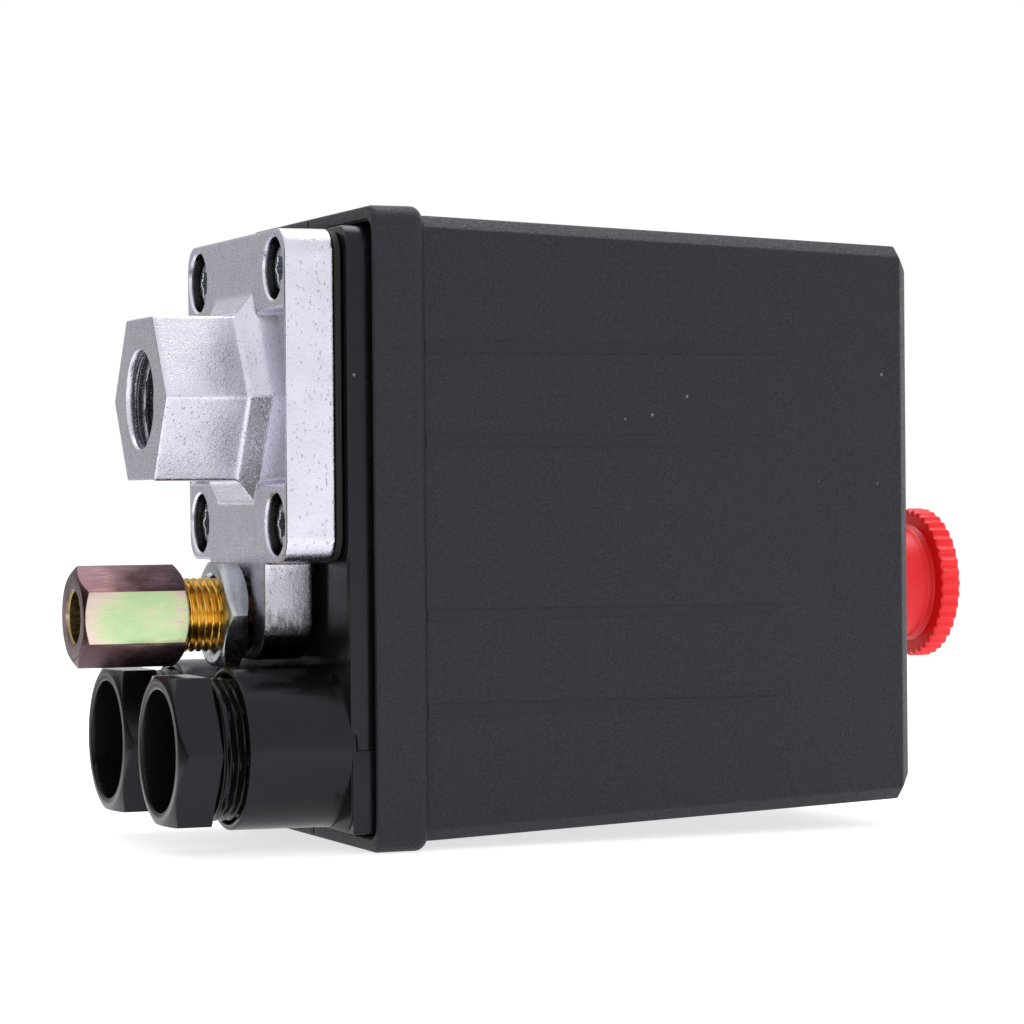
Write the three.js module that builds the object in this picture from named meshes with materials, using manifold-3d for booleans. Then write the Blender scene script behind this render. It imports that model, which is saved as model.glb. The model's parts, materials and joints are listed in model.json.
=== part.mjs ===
// Pressure switch for a small air compressor, with an unloader valve and a push-pull cut-off knob.
// Millimetres. +X runs from the port's mouth through the switch to the knob, +Z is up, -Y is the side
// next to the first cable gland. The origin is the centre of the port's mouth.
// Every piece is drawn along its own +Z and the outermost group turns that +Z onto the row's +X,
// so in this file x is the row's Y, y is the row's Z and z is the distance from the port's mouth.
import * as THREE from "three";
import { mergeVertices } from "three/addons/utils/BufferGeometryUtils.js";
import Module from "manifold-3d";

// ---------------------------------------------------------------- driving dimensions
const GAP = 0.3; // between pieces that touch
const FINE = 36; // sides of a large round
const MEDIUM = 24; // of a middling one
const COARSE = 14; // of a pin or a screw hole
const SMALL = 10; // of a small screw

const PORT_HEX = 22; // across flats
const PORT_LENGTH = 13.35; // mouth to flange face
const PORT_BORE_R = 6.6; // G 1/4 female thread
const PORT_BORE_DEPTH = 11;
const PORT_PASSAGE_R = 2.5;
const PORT_ROOT = 2; // how far the hexagon runs on inside the flange
const PORT_FLARE = 3.4; // how far the hexagon's foot spreads at its corners
const PORT_FLARE_LENGTH = 1.9;

const FLANGE_SIZE = 43.8; // square
const FLANGE_THICKNESS = 6.6;
const FLANGE_CORNER_R = 3.5;
const FLANGE_EDGE_TO_SCREW = 5.1;
const FLANGE_POCKET_DEPTH = 1;
const FLANGE_POCKET_RIM = 0.7;

const SCREW_SHANK_R = 2.4; // M5
const SCREW_HEAD_R = 3.7;
const SCREW_HEAD_HEIGHT = 2.2;
const SCREW_HEAD_SUNK = 1.1;
const SCREW_HEAD_CLEARANCE = 0.4; // round the head in its counterbore
const SCREW_PAST_FRAME = 2.5;

const DIAPHRAGM_THICKNESS = 0.8;
const DIAPHRAGM_DISH_R = 13.5;
const DIAPHRAGM_DISH_DEPTH = 1.2;

const COVER_WIDTH = 52.4; // over the collar
const COVER_HEIGHT = 84.4; // over the collar
const COVER_LENGTH = 80.2; // collar's mouth to end wall
const COVER_CENTRE_Y = -17.5;
const COVER_MOUTH = 24; // from the port's mouth
const COVER_WALL = 2;
const COVER_CORNER_R = 2.4;
const COVER_CHAMFER = 1.7; // on the long edges and round the end
const COLLAR_LENGTH = 7.7;
const COLLAR_STEP = 1.1;
const COLLAR_ROUND = 2;
const COLLAR_SIDE_WALL = 1;
const DRAFT_SIDE = 1.6; // how much each long side closes in along the cover
const DRAFT_TOP = 2.7;

const BASE_THICKNESS = 6.1;
const BASE_SIDE_CLEARANCE = 1.9;
const BASE_TOP_CLEARANCE = 0.4;
const BASE_LEDGE = 0.3;

const GLAND_Y = -46.3;
const GLAND_THREAD_R = 9.4;
const GLAND_HEX = 2 * GLAND_THREAD_R + 0.6; // across flats
const GLAND_SPACING = 2.8; // between the two nuts' nearest corners
const GLAND_PITCH = (2 * GLAND_HEX) / Math.sqrt(3) + GLAND_SPACING;
const GLAND_HEX_LENGTH = 5.6;
const GLAND_MOUTH = -1.6; // from the port's mouth
const GLAND_BORE_R = GLAND_THREAD_R - 1.4;
const GLAND_THROAT_R = GLAND_BORE_R - 2;
const GLAND_THROAT_DEPTH = 4;
const GLAND_SEAL_LENGTH = 4;
const GLAND_LENGTH = 15.6;
const STUB_WALL = 1.1;
const STUB_RIM = 7.7; // from the port's mouth

const UNLOADER_Y = -29;
const UNLOADER_THREAD_R = 5; // M10 x 1
const UNLOADER_FRONT = -0.5;
const LOCK_NUT_HEX = 2 * UNLOADER_THREAD_R + 4;
const LOCK_NUT_THICKNESS = 3.4;
const TUBE_NUT_HEX = 2 * UNLOADER_THREAD_R + 2;
const TUBE_NUT_LENGTH = 14.5;
const TUBE_NUT_OVERLAP = 5.5; // length screwed over the body
const TUBE_BORE_R = 3.5;
const BOSS_HALF_WIDTH = 12.4;
const BOSS_ROUND = 6;
const PIN_R = 1.2;

const KNOB_Y = -26.5;
const KNOB_DISC_R = 10.8;
const KNOB_DISC_THICKNESS = 3.05;
const KNOB_TEETH = 40;
const KNOB_TOOTH_DEPTH = 0.45;
const KNOB_STEM_R = 8;
const KNOB_REACH = 11.8; // end wall to the disc's back, pulled out
const KNOB_STROKE = 6;
const KNOB_SHAFT_R = 2.5;

const FRAME_SHEET = 2;
const FRAME_MARGIN = 3.7; // sheet outside the screw holes' centres
const CHEEK_SHEET = 1.6;
const CHEEK_HALF_HEIGHT = 9;
const LEVER_PIVOT_Y = -14;
const LEVER_PIN_R = 1.5;
const LEVER_SHEET = 2;
const LEVER_STAND_OFF = 9.4; // frame to lever
const LEVER_PIN_AHEAD = 0.9; // of the lever's face
const LEVER_SWING = THREE.MathUtils.degToRad(4);

const SPRING_R = 8;
const SPRING_WIRE_R = 1.1;
const SPRING_TURNS = 6;
const SEAT_LIP = 1.2; // of the cup round the spring's foot
const CHEEK_INSIDE = SPRING_R + SPRING_WIRE_R + SEAT_LIP + 1.7;
const LEVER_HALF_WIDTH = CHEEK_INSIDE - 3;
const RANGE_SCREW_R = 3;
const RANGE_SCREW_HEAD = 4;
const RANGE_NUT_THICKNESS = 3;
const RANGE_NUT_SET_BACK = 12; // from the frame's bridge
const END_ROOM = 13.8; // frame's bridge to the cover's end wall, for the screw's head

const CONTACT_Y = -43;
const CONTACT_HALF_SPAN = 6;
const CONTACT_X = 10;
const BRIDGE_HALF_WIDTH = 2;
const BLOCK_SET_BACK = 10.9; // from the lever
const BLOCK_DEPTH = 11;

// ---------------------------------------------------------------- places along the switch
const FLANGE_FACE = PORT_LENGTH;
const FLANGE_BACK = FLANGE_FACE + FLANGE_THICKNESS;
const DIAPHRAGM_FRONT = FLANGE_BACK + GAP;
const BASE_FRONT = DIAPHRAGM_FRONT + DIAPHRAGM_THICKNESS + GAP;
const BASE_BACK = BASE_FRONT + BASE_THICKNESS;
const FRAME_FRONT = BASE_BACK + GAP;
const FRAME_BACK = FRAME_FRONT + FRAME_SHEET;
const LEVER_FRONT = FRAME_BACK + LEVER_STAND_OFF;
const LEVER_BACK = LEVER_FRONT + LEVER_SHEET;
const LEVER_PIVOT_Z = LEVER_FRONT - LEVER_PIN_AHEAD;
const COVER_END = COVER_MOUTH + COVER_LENGTH;
const BRIDGE_BACK = COVER_END - COVER_WALL - END_ROOM;
const BRIDGE_FRONT = BRIDGE_BACK - FRAME_SHEET;
const RANGE_NUT_FRONT = BRIDGE_FRONT - RANGE_NUT_SET_BACK;
const SCREW_PITCH = FLANGE_SIZE - 2 * FLANGE_EDGE_TO_SCREW;
const COVER_SCREW_Y = 11;
const BLOCK_FRONT = LEVER_BACK + BLOCK_SET_BACK;
const BLOCK_BACK = BLOCK_FRONT + BLOCK_DEPTH;
const PISTON_ARM = -LEVER_PIVOT_Y;
const PISTON_TRAVEL = PISTON_ARM * Math.tan(LEVER_SWING);
const BASE_HALF_WIDTH = COVER_WIDTH / 2 - COLLAR_SIDE_WALL - BASE_SIDE_CLEARANCE;
const COVER_TOP = COVER_CENTRE_Y + COVER_HEIGHT / 2;
const COVER_BOTTOM = COVER_CENTRE_Y - COVER_HEIGHT / 2;
const BASE_TOP = COVER_TOP - COVER_WALL - BASE_TOP_CLEARANCE;
const BASE_BOTTOM = COVER_BOTTOM + COVER_WALL + BASE_TOP_CLEARANCE;

// ---------------------------------------------------------------- materials
function material(color, roughness, metalness) {
  return new THREE.MeshStandardMaterial({ color, roughness, metalness });
}
const COVER_PLASTIC = material(0x38363b, 0.7, 0);
const HOUSING_PLASTIC = material(0x1b1b1f, 0.35, 0);
const KNOB_PLASTIC = material(0xe8201c, 0.4, 0);
const CAST_ALUMINIUM = material(0xb9b6c2, 0.4, 0.9);
const ZINC = material(0x9aa0aa, 0.3, 0.9);
const YELLOW_ZINC = material(0x9fa46a, 0.3, 0.8);
const BRASS = material(0xc99a2e, 0.3, 0.95);
const SPRING_STEEL = material(0x77777c, 0.35, 0.9);
const FRAME_STEEL = material(0xa8aab0, 0.4, 0.85);
const RUBBER = material(0x141414, 0.85, 0);
const COPPER = material(0xb87346, 0.35, 0.9);
const CONTACT_PLASTIC = material(0x4a2d1c, 0.6, 0);

// ---------------------------------------------------------------- solids
const wasm = await Module();
wasm.setup();

function toSolid(geometry) {
  const bare = new THREE.BufferGeometry();
  const flat = geometry.index ? geometry.toNonIndexed() : geometry;
  bare.setAttribute("position", flat.getAttribute("position"));
  const merged = mergeVertices(bare, 1e-4);
  const mesh = new wasm.Mesh({
    numProp: 3,
    vertProperties: merged.attributes.position.array,
    triVerts: new Uint32Array(merged.index.array),
  });
  return new wasm.Manifold(mesh);
}

function toGeometry(solid) {
  const mesh = solid.getMesh();
  const geometry = new THREE.BufferGeometry();
  geometry.setAttribute("position", new THREE.BufferAttribute(mesh.vertProperties, 3));
  geometry.setIndex(new THREE.BufferAttribute(mesh.triVerts, 1));
  geometry.computeVertexNormals();
  return geometry;
}

// The first geometries joined, less the second ones.
function carve(joined, removed = []) {
  let solid = joined.map(toSolid).reduce((a, b) => a.add(b));
  for (const geometry of removed) {
    solid = solid.subtract(toSolid(geometry));
  }
  return toGeometry(solid);
}

function common(first, second) {
  return toGeometry(toSolid(first).intersect(toSolid(second)));
}

// A flat shape drawn out from z = from to z = to.
function prism(shape, from, to, curveSegments = 8) {
  const depth = to - from;
  const options = { depth, bevelEnabled: false, curveSegments };
  return new THREE.ExtrudeGeometry(shape, options).translate(0, 0, from);
}

function block(x0, x1, y0, y1, z0, z1) {
  const box = new THREE.BoxGeometry(x1 - x0, y1 - y0, z1 - z0);
  return box.translate((x0 + x1) / 2, (y0 + y1) / 2, (z0 + z1) / 2);
}

function rod(radius, from, to, x = 0, y = 0, sides = COARSE) {
  const cylinder = new THREE.CylinderGeometry(radius, radius, to - from, sides);
  return cylinder.rotateX(Math.PI / 2).translate(x, y, (from + to) / 2);
}

// A round piece from [radius, z] points. The outline starts and ends on the axis, or closes.
function turned(points, sides = MEDIUM) {
  const outline = points.map(([radius, z]) => new THREE.Vector2(radius, z));
  const onAxis = points[0][0] === 0;
  const area = THREE.ShapeUtils.area(outline);
  if (area < 0) {
    outline.reverse();
  }
  if (!onAxis) {
    outline.push(outline[0].clone());
  }
  return new THREE.LatheGeometry(outline, sides).rotateX(Math.PI / 2);
}

function ring(inner, outer, from, to, sides = MEDIUM) {
  return turned([[inner, from], [outer, from], [outer, to], [inner, to]], sides);
}

function roundedRectangle(width, height, radius, x = 0, y = 0) {
  const shape = new THREE.Shape();
  const right = x + width / 2 - radius;
  const left = x - width / 2 + radius;
  const top = y + height / 2 - radius;
  const bottom = y - height / 2 + radius;
  const quarter = Math.PI / 2;
  shape.absarc(right, top, radius, 0, quarter, false);
  shape.absarc(left, top, radius, quarter, 2 * quarter, false);
  shape.absarc(left, bottom, radius, 2 * quarter, 3 * quarter, false);
  shape.absarc(right, bottom, radius, 3 * quarter, 4 * quarter, false);
  shape.closePath();
  return shape;
}

function chamferedRectangle(width, height, chamfer, x, y) {
  const points = [];
  for (const [side, level] of [[1, -1], [1, 1], [-1, 1], [-1, -1]]) {
    const onSide = [x + (side * width) / 2, y + level * (height / 2 - chamfer)];
    const onLevel = [x + side * (width / 2 - chamfer), y + (level * height) / 2];
    const pair = side === level ? [onSide, onLevel] : [onLevel, onSide];
    points.push(...pair.map((place) => new THREE.Vector2(...place)));
  }
  return new THREE.Shape(points);
}

// A hexagon with two corners on the x axis, so its top and bottom are flats.
function hexagon(acrossFlats) {
  const corner = acrossFlats / Math.sqrt(3);
  const points = [];
  for (let i = 0; i < 6; i += 1) {
    const angle = (i * Math.PI) / 3;
    points.push(new THREE.Vector2(corner * Math.cos(angle), corner * Math.sin(angle)));
  }
  return new THREE.Shape(points);
}

// A hexagonal bar whose corners are turned off at the ends named.
function hexBar(acrossFlats, from, to, { front = true, back = true } = {}) {
  const corner = acrossFlats / Math.sqrt(3) + 0.1;
  const face = acrossFlats / 2 - 0.1;
  const chamfer = (corner - face) * 0.6;
  const envelope = [[0, from - (front ? 0 : 1)]];
  if (front) {
    envelope.push([face, from], [corner, from + chamfer]);
  } else {
    envelope.push([corner, from - 1]);
  }
  if (back) {
    envelope.push([corner, to - chamfer], [face, to]);
  } else {
    envelope.push([corner, to + 1]);
  }
  envelope.push([0, to + (back ? 0 : 1)]);
  return common(prism(hexagon(acrossFlats), from, to), turned(envelope, FINE));
}

class Helix extends THREE.Curve {
  constructor(radius, length, turns) {
    super();
    this.radius = radius;
    this.length = length;
    this.turns = turns;
  }
  getPoint(t, target = new THREE.Vector3()) {
    const angle = 2 * Math.PI * this.turns * t;
    const x = this.radius * Math.cos(angle);
    const y = this.radius * Math.sin(angle);
    return target.set(x, y, this.length * t);
  }
}

// A coil spring standing between z = from and z = to.
function coilSpring(radius, wire, from, to, turns, stepsPerTurn = 10) {
  const section = new THREE.Shape();
  section.absarc(0, 0, wire, 0, 2 * Math.PI, false);
  const length = to - from - 2 * wire;
  const extrudePath = new Helix(radius, length, turns);
  const steps = Math.round(turns * stepsPerTurn);
  const options = { steps, extrudePath, curveSegments: 3, bevelEnabled: false };
  return new THREE.ExtrudeGeometry(section, options).translate(0, 0, from + wire);
}

// Narrows a piece evenly about (0, centreY) as z runs from one value to another.
function drafted(geometry, from, to, scaleX, scaleY, centreY) {
  const position = geometry.getAttribute("position");
  for (let i = 0; i < position.count; i += 1) {
    const along = (position.getZ(i) - from) / (to - from);
    const x = position.getX(i) * (1 + (scaleX - 1) * along);
    const y = centreY + (position.getY(i) - centreY) * (1 + (scaleY - 1) * along);
    position.setXY(i, x, y);
  }
  return geometry;
}

// A six-pointed star recess, as a screwdriver bit leaves it.
function starRecess(radius, from, to) {
  const shape = new THREE.Shape();
  for (let i = 0; i < 12; i += 1) {
    const angle = (i * Math.PI) / 6;
    const reach = i % 2 ? radius * 0.72 : radius;
    const point = [reach * Math.cos(angle), reach * Math.sin(angle)];
    if (i) {
      shape.lineTo(...point);
    } else {
      shape.moveTo(...point);
    }
  }
  shape.closePath();
  return prism(shape, from, to);
}

function crossRecess(reach, width, from, to) {
  const long = reach;
  const short = width / 2;
  return [
    block(-long, long, -short, short, from, to),
    block(-short, short, -long, long, from, to),
  ];
}

// A pan-head screw: its head's top faces -z at z = 0 and its shank runs towards +z.
function panScrew(shank, head, headHeight, length, recess, sides = SMALL) {
  const body = turned(
    [
      [0, 0],
      [head * 0.55, 0],
      [head * 0.88, headHeight * 0.25],
      [head, headHeight * 0.6],
      [head, headHeight],
      [shank, headHeight],
      [shank, headHeight + length - shank * 0.4],
      [shank * 0.6, headHeight + length],
      [0, headHeight + length],
    ],
    sides,
  );
  return carve([body], recess);
}

// ---------------------------------------------------------------- the group and its pieces
const pressureSwitch = new THREE.Group();
pressureSwitch.quaternion.set(0.5, 0.5, 0.5, 0.5);

function add(name, geometry, look, x = 0, y = 0, z = 0) {
  const mesh = new THREE.Mesh(geometry, look);
  mesh.name = name;
  mesh.position.set(x, y, z);
  pressureSwitch.add(mesh);
  return mesh;
}

const screwPlaces = [];
for (const side of [-1, 1]) {
  for (const level of [-1, 1]) {
    screwPlaces.push([(side * SCREW_PITCH) / 2, (level * SCREW_PITCH) / 2]);
  }
}
const glandPlaces = [-GLAND_PITCH / 2, GLAND_PITCH / 2];

function portFlange() {
  const square = roundedRectangle(FLANGE_SIZE, FLANGE_SIZE, FLANGE_CORNER_R);
  const plate = prism(square, FLANGE_FACE, FLANGE_BACK, 5);
  const port = prism(hexagon(PORT_HEX), 0, FLANGE_FACE + PORT_ROOT);
  const corner = PORT_HEX / Math.sqrt(3);
  const footCorner = corner + PORT_FLARE;
  const flare = new THREE.CylinderGeometry(footCorner, corner, PORT_FLARE_LENGTH, 6);
  flare.rotateY(Math.PI / 6);
  flare.rotateX(Math.PI / 2);
  flare.translate(0, 0, FLANGE_FACE - PORT_FLARE_LENGTH / 2);
  const footShape = hexagon(footCorner * Math.sqrt(3));
  const foot = prism(footShape, FLANGE_FACE - 0.001, FLANGE_FACE + 2 * FLANGE_POCKET_DEPTH);
  const bossBottom = UNLOADER_Y - BOSS_ROUND;
  const bossTop = -FLANGE_SIZE / 2 + 3;
  const bossShape = roundedRectangle(
    2 * BOSS_HALF_WIDTH,
    bossTop - bossBottom,
    BOSS_ROUND,
    0,
    (bossTop + bossBottom) / 2,
  );
  const half = BOSS_HALF_WIDTH;
  const bossNeck = block(-half, half, bossTop - 7, bossTop, FLANGE_FACE, FLANGE_BACK);
  const boss = prism(bossShape, FLANGE_FACE, FLANGE_BACK, 6);
  const dishFloor = FLANGE_BACK - DIAPHRAGM_DISH_DEPTH;
  const dish = turned(
    [
      [0, dishFloor],
      [DIAPHRAGM_DISH_R - 2, dishFloor],
      [DIAPHRAGM_DISH_R, FLANGE_BACK + 1],
      [0, FLANGE_BACK + 1],
    ],
    FINE,
  );
  const removed = [
    rod(PORT_BORE_R, -1, PORT_BORE_DEPTH, 0, 0, FINE),
    rod(PORT_PASSAGE_R, PORT_BORE_DEPTH - 1, FLANGE_BACK + 1),
    dish,
    rod(UNLOADER_THREAD_R + GAP, FLANGE_FACE - 1, FLANGE_BACK + 1, 0, UNLOADER_Y, MEDIUM),
  ];
  const headFloor = FLANGE_FACE + SCREW_HEAD_SUNK + SCREW_HEAD_HEIGHT + GAP;
  for (const [x, y] of screwPlaces) {
    removed.push(rod(SCREW_HEAD_R + SCREW_HEAD_CLEARANCE, FLANGE_FACE - 1, headFloor, x, y, MEDIUM));
    removed.push(rod(SCREW_SHANK_R + GAP, headFloor - 1, FLANGE_BACK + 1, x, y));
  }
  const pocketHalf = PORT_HEX / 2;
  const pocketRim = FLANGE_SIZE / 2 - FLANGE_POCKET_RIM;
  const pocketFloor = FLANGE_FACE + FLANGE_POCKET_DEPTH;
  const pockets = [
    block(-pocketRim, -PORT_HEX / 2, -pocketHalf, pocketHalf, FLANGE_FACE - 1, pocketFloor),
    block(PORT_HEX / 2, pocketRim, -pocketHalf, pocketHalf, FLANGE_FACE - 1, pocketFloor),
  ];
  const pocketed = carve([plate], pockets);
  return carve([pocketed, port, flare, foot, boss, bossNeck], removed);
}

function diaphragm() {
  const size = FLANGE_SIZE - 0.4;
  const sheet = prism(roundedRectangle(size, size, FLANGE_CORNER_R), 0, DIAPHRAGM_THICKNESS, 5);
  const holes = screwPlaces.map(([x, y]) => rod(SCREW_SHANK_R + GAP, -1, 2, x, y));
  return carve([sheet], holes);
}

const PISTON_HEAD_R = 12.4;
const PISTON_HEAD = 2;
const PISTON_STEM_R = 5;

function pressurePiston() {
  const stemEnd = LEVER_FRONT - GAP - BASE_FRONT - GAP;
  return turned(
    [
      [0, 0],
      [PISTON_HEAD_R, 0],
      [PISTON_HEAD_R, PISTON_HEAD],
      [PISTON_STEM_R, PISTON_HEAD],
      [PISTON_STEM_R, stemEnd - 2.5],
      [1.8, stemEnd - 1.5],
      [1.2, stemEnd],
      [0, stemEnd],
    ],
    MEDIUM,
  );
}

function baseHousing() {
  const height = BASE_TOP - BASE_BOTTOM;
  const middle = (BASE_TOP + BASE_BOTTOM) / 2;
  const outline = roundedRectangle(2 * BASE_HALF_WIDTH, height, 3, 0, middle);
  const plate = prism(outline, BASE_FRONT, BASE_BACK, 5);
  const ledgeHalf = BASE_HALF_WIDTH + BASE_LEDGE;
  const wide = roundedRectangle(2 * ledgeHalf, height, 3, 0, middle);
  const ledge = common(
    prism(wide, BASE_FRONT, BASE_BACK, 5),
    block(-ledgeHalf, ledgeHalf, BASE_BOTTOM, GLAND_Y, BASE_FRONT, BASE_BACK),
  );
  const stubR = GLAND_THREAD_R + GAP + STUB_WALL;
  const stubs = glandPlaces.map((x) => rod(stubR, STUB_RIM, BASE_FRONT + 1, x, GLAND_Y, FINE));
  const seatFloor = GLAND_MOUTH + GLAND_LENGTH + GLAND_SEAL_LENGTH + 1;
  const pocketDepth = PISTON_HEAD + PISTON_TRAVEL + 3 * GAP;
  const removed = [
    rod(PISTON_HEAD_R + GAP, BASE_FRONT - 1, BASE_FRONT + pocketDepth, 0, 0, FINE),
    rod(PISTON_STEM_R + GAP, BASE_FRONT, BASE_BACK + 1, 0, 0, MEDIUM),
    rod(PIN_R + 0.8, BASE_FRONT - 1, BASE_BACK + 1, 0, UNLOADER_Y),
  ];
  for (const [x, y] of screwPlaces) {
    removed.push(rod(SCREW_SHANK_R + GAP, BASE_FRONT - 1, BASE_BACK + 1, x, y));
  }
  for (const x of glandPlaces) {
    removed.push(rod(GLAND_THREAD_R + GAP, STUB_RIM - 1, seatFloor, x, GLAND_Y, FINE));
    removed.push(rod(GLAND_THROAT_R + 0.8, seatFloor - 1, BASE_BACK + 1, x, GLAND_Y, MEDIUM));
  }
  for (const side of [-1, 1]) {
    const x = side * BLOCK_SCREW_X;
    removed.push(rod(BLOCK_SCREW_R + GAP, BASE_FRONT + 1.2, BASE_BACK + 1, x, BLOCK_SCREW_Y));
  }
  return carve([plate, ledge, ...stubs], removed);
}

function glandNut() {
  const hex = hexBar(GLAND_HEX, 0, GLAND_HEX_LENGTH, { back: false });
  const thread = rod(GLAND_THREAD_R, GLAND_HEX_LENGTH - 1, GLAND_LENGTH, 0, 0, FINE);
  const throat = GLAND_LENGTH - GLAND_THROAT_DEPTH;
  return carve(
    [hex, thread],
    [
      rod(GLAND_BORE_R, -1, throat, 0, 0, FINE),
      rod(GLAND_THROAT_R, throat - 1, GLAND_LENGTH + 1, 0, 0, MEDIUM),
    ],
  );
}

function glandSeal() {
  return ring(GLAND_THROAT_R - 0.4, GLAND_THREAD_R - 0.1, 0, GLAND_SEAL_LENGTH, MEDIUM);
}

function lockNut() {
  const hex = hexBar(LOCK_NUT_HEX, 0, LOCK_NUT_THICKNESS);
  return carve([hex], [rod(UNLOADER_THREAD_R + GAP, -1, LOCK_NUT_THICKNESS + 1, 0, 0, MEDIUM)]);
}

const TUBE_NUT_FRONT = UNLOADER_FRONT + TUBE_NUT_OVERLAP - TUBE_NUT_LENGTH;
const FERRULE_LENGTH = 3;

// This nut stands with a corner up, unlike the other hexagons.
function compressionNut() {
  const hex = hexBar(TUBE_NUT_HEX, 0, TUBE_NUT_LENGTH).rotateZ(Math.PI / 2);
  const threadDepth = TUBE_NUT_OVERLAP + FERRULE_LENGTH + 3 * GAP;
  const shoulder = TUBE_NUT_LENGTH - threadDepth;
  return carve(
    [hex],
    [
      rod(TUBE_BORE_R, -1, shoulder + 1, 0, 0, MEDIUM),
      rod(UNLOADER_THREAD_R + GAP, shoulder, TUBE_NUT_LENGTH + 1, 0, 0, MEDIUM),
    ],
  );
}

function ferrule() {
  const inner = TUBE_BORE_R - 0.4;
  const outer = UNLOADER_THREAD_R - 0.1;
  const middle = FERRULE_LENGTH / 2;
  return turned([
    [inner, 0],
    [inner + 0.6, 0],
    [outer, middle],
    [inner + 0.6, FERRULE_LENGTH],
    [inner, FERRULE_LENGTH],
  ]);
}

const UNLOADER_LENGTH = FLANGE_BACK - GAP - UNLOADER_FRONT;
const UNLOADER_SEAT = 8.5;
const CHAMBER_R = UNLOADER_THREAD_R - 1.9;

function unloaderBody() {
  return turned([
    [UNLOADER_THREAD_R - 0.6, 0],
    [UNLOADER_THREAD_R, 0.6],
    [UNLOADER_THREAD_R, UNLOADER_LENGTH],
    [CHAMBER_R, UNLOADER_LENGTH],
    [CHAMBER_R, UNLOADER_SEAT],
    [PIN_R + 0.4, UNLOADER_SEAT],
    [PIN_R + 0.4, UNLOADER_SEAT - 4],
    [TUBE_BORE_R - 0.4, UNLOADER_SEAT - 4],
    [TUBE_BORE_R - 0.4, 0],
  ]);
}

const PIN_TIP = UNLOADER_FRONT + UNLOADER_SEAT - 3;
const PIN_COLLAR = UNLOADER_FRONT + UNLOADER_SEAT + 7;

function unloaderPin() {
  const end = LEVER_FRONT - GAP - PIN_TIP;
  const collar = PIN_COLLAR - PIN_TIP;
  return turned(
    [
      [0, 0],
      [PIN_R * 0.6, 0],
      [PIN_R, 0.6],
      [PIN_R, collar],
      [CHAMBER_R - 0.4, collar],
      [CHAMBER_R - 0.4, collar + 1.5],
      [PIN_R, collar + 1.5],
      [PIN_R, end - 0.4],
      [PIN_R * 0.7, end],
      [0, end],
    ],
    COARSE,
  );
}

// ---------------------------------------------------------------- frame, lever and range spring
function frame() {
  const reach = SCREW_PITCH / 2 + FRAME_MARGIN;
  const outside = CHEEK_INSIDE + CHEEK_SHEET;
  const footTop = CHEEK_HALF_HEIGHT;
  const footBottom = LEVER_PIVOT_Y - 4.5;
  const footEnd = LEVER_PIVOT_Z + 8;
  const joined = [block(-reach, reach, -reach, reach, FRAME_FRONT, FRAME_BACK)];
  for (const side of [-1, 1]) {
    const inner = side * CHEEK_INSIDE;
    const outer = side * outside;
    const low = Math.min(inner, outer);
    const high = Math.max(inner, outer);
    joined.push(block(low, high, footBottom, footTop, FRAME_BACK - 0.5, footEnd));
    joined.push(block(low, high, -CHEEK_HALF_HEIGHT, footTop, footEnd - 1, BRIDGE_BACK));
  }
  const lug = COVER_SCREW_Y + 4.5;
  joined.push(block(-outside, outside, -CHEEK_HALF_HEIGHT, lug, BRIDGE_FRONT, BRIDGE_BACK));
  const pinHole = rod(LEVER_PIN_R + GAP, -outside - 1, outside + 1);
  pinHole.rotateY(Math.PI / 2).translate(0, LEVER_PIVOT_Y, LEVER_PIVOT_Z);
  const removed = [
    rod(PISTON_STEM_R + 0.8, FRAME_FRONT - 1, FRAME_BACK + 1, 0, 0, MEDIUM),
    rod(RANGE_SCREW_R + GAP, BRIDGE_FRONT - 1, BRIDGE_BACK + 1),
    rod(COVER_SCREW_R + GAP, BRIDGE_FRONT - 1, BRIDGE_BACK + 1, 0, COVER_SCREW_Y),
    rod(EARTH_SCREW_R + GAP, FRAME_FRONT - 1, FRAME_BACK + 1, EARTH_SCREW_X, 0),
    pinHole,
  ];
  const screwEnd = FRAME_BACK + SCREW_PAST_FRAME + GAP;
  for (const [x, y] of screwPlaces) {
    removed.push(rod(SCREW_SHANK_R + GAP, FRAME_FRONT - 1, screwEnd, x, y));
  }
  return carve(joined, removed);
}

// The lever's own origin is the middle of its pin.
function lever() {
  const face = LEVER_FRONT - LEVER_PIVOT_Z;
  const top = CHEEK_HALF_HEIGHT - LEVER_PIVOT_Y;
  const bottom = CONTACT_Y - 2 - LEVER_PIVOT_Y;
  const half = LEVER_HALF_WIDTH;
  const plate = block(-half, half, -8, top, face, face + LEVER_SHEET);
  const tail = block(-half / 2, half / 2, bottom, -7, face, face + LEVER_SHEET);
  const barrelR = LEVER_PIN_R + GAP + 1.4;
  const barrel = rod(barrelR, -half, half, 0, 0, MEDIUM).rotateY(Math.PI / 2);
  const hole = rod(LEVER_PIN_R + GAP, -half - 1, half + 1).rotateY(Math.PI / 2);
  return carve([plate, tail, barrel], [hole]);
}

function leverPin() {
  const half = CHEEK_INSIDE + CHEEK_SHEET + 0.8;
  return rod(LEVER_PIN_R, -half, half).rotateY(Math.PI / 2);
}

const RANGE_NUT_HALF_HEIGHT = SPRING_R + 1.6;
const SEAT_BASE = 1.2;
const SEAT_RIM = 2.4;

function springSeat() {
  const inner = SPRING_R + SPRING_WIRE_R + GAP;
  return turned([
    [0, 0],
    [inner + SEAT_LIP, 0],
    [inner + SEAT_LIP, SEAT_RIM],
    [inner, SEAT_RIM],
    [inner, SEAT_BASE],
    [0, SEAT_BASE],
  ]);
}

function rangeNut() {
  const half = CHEEK_INSIDE - 2 * GAP;
  const level = RANGE_NUT_HALF_HEIGHT;
  const plate = block(-half, half, -level, level, 0, RANGE_NUT_THICKNESS);
  return carve([plate], [rod(RANGE_SCREW_R + GAP, -1, RANGE_NUT_THICKNESS + 1)]);
}

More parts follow.
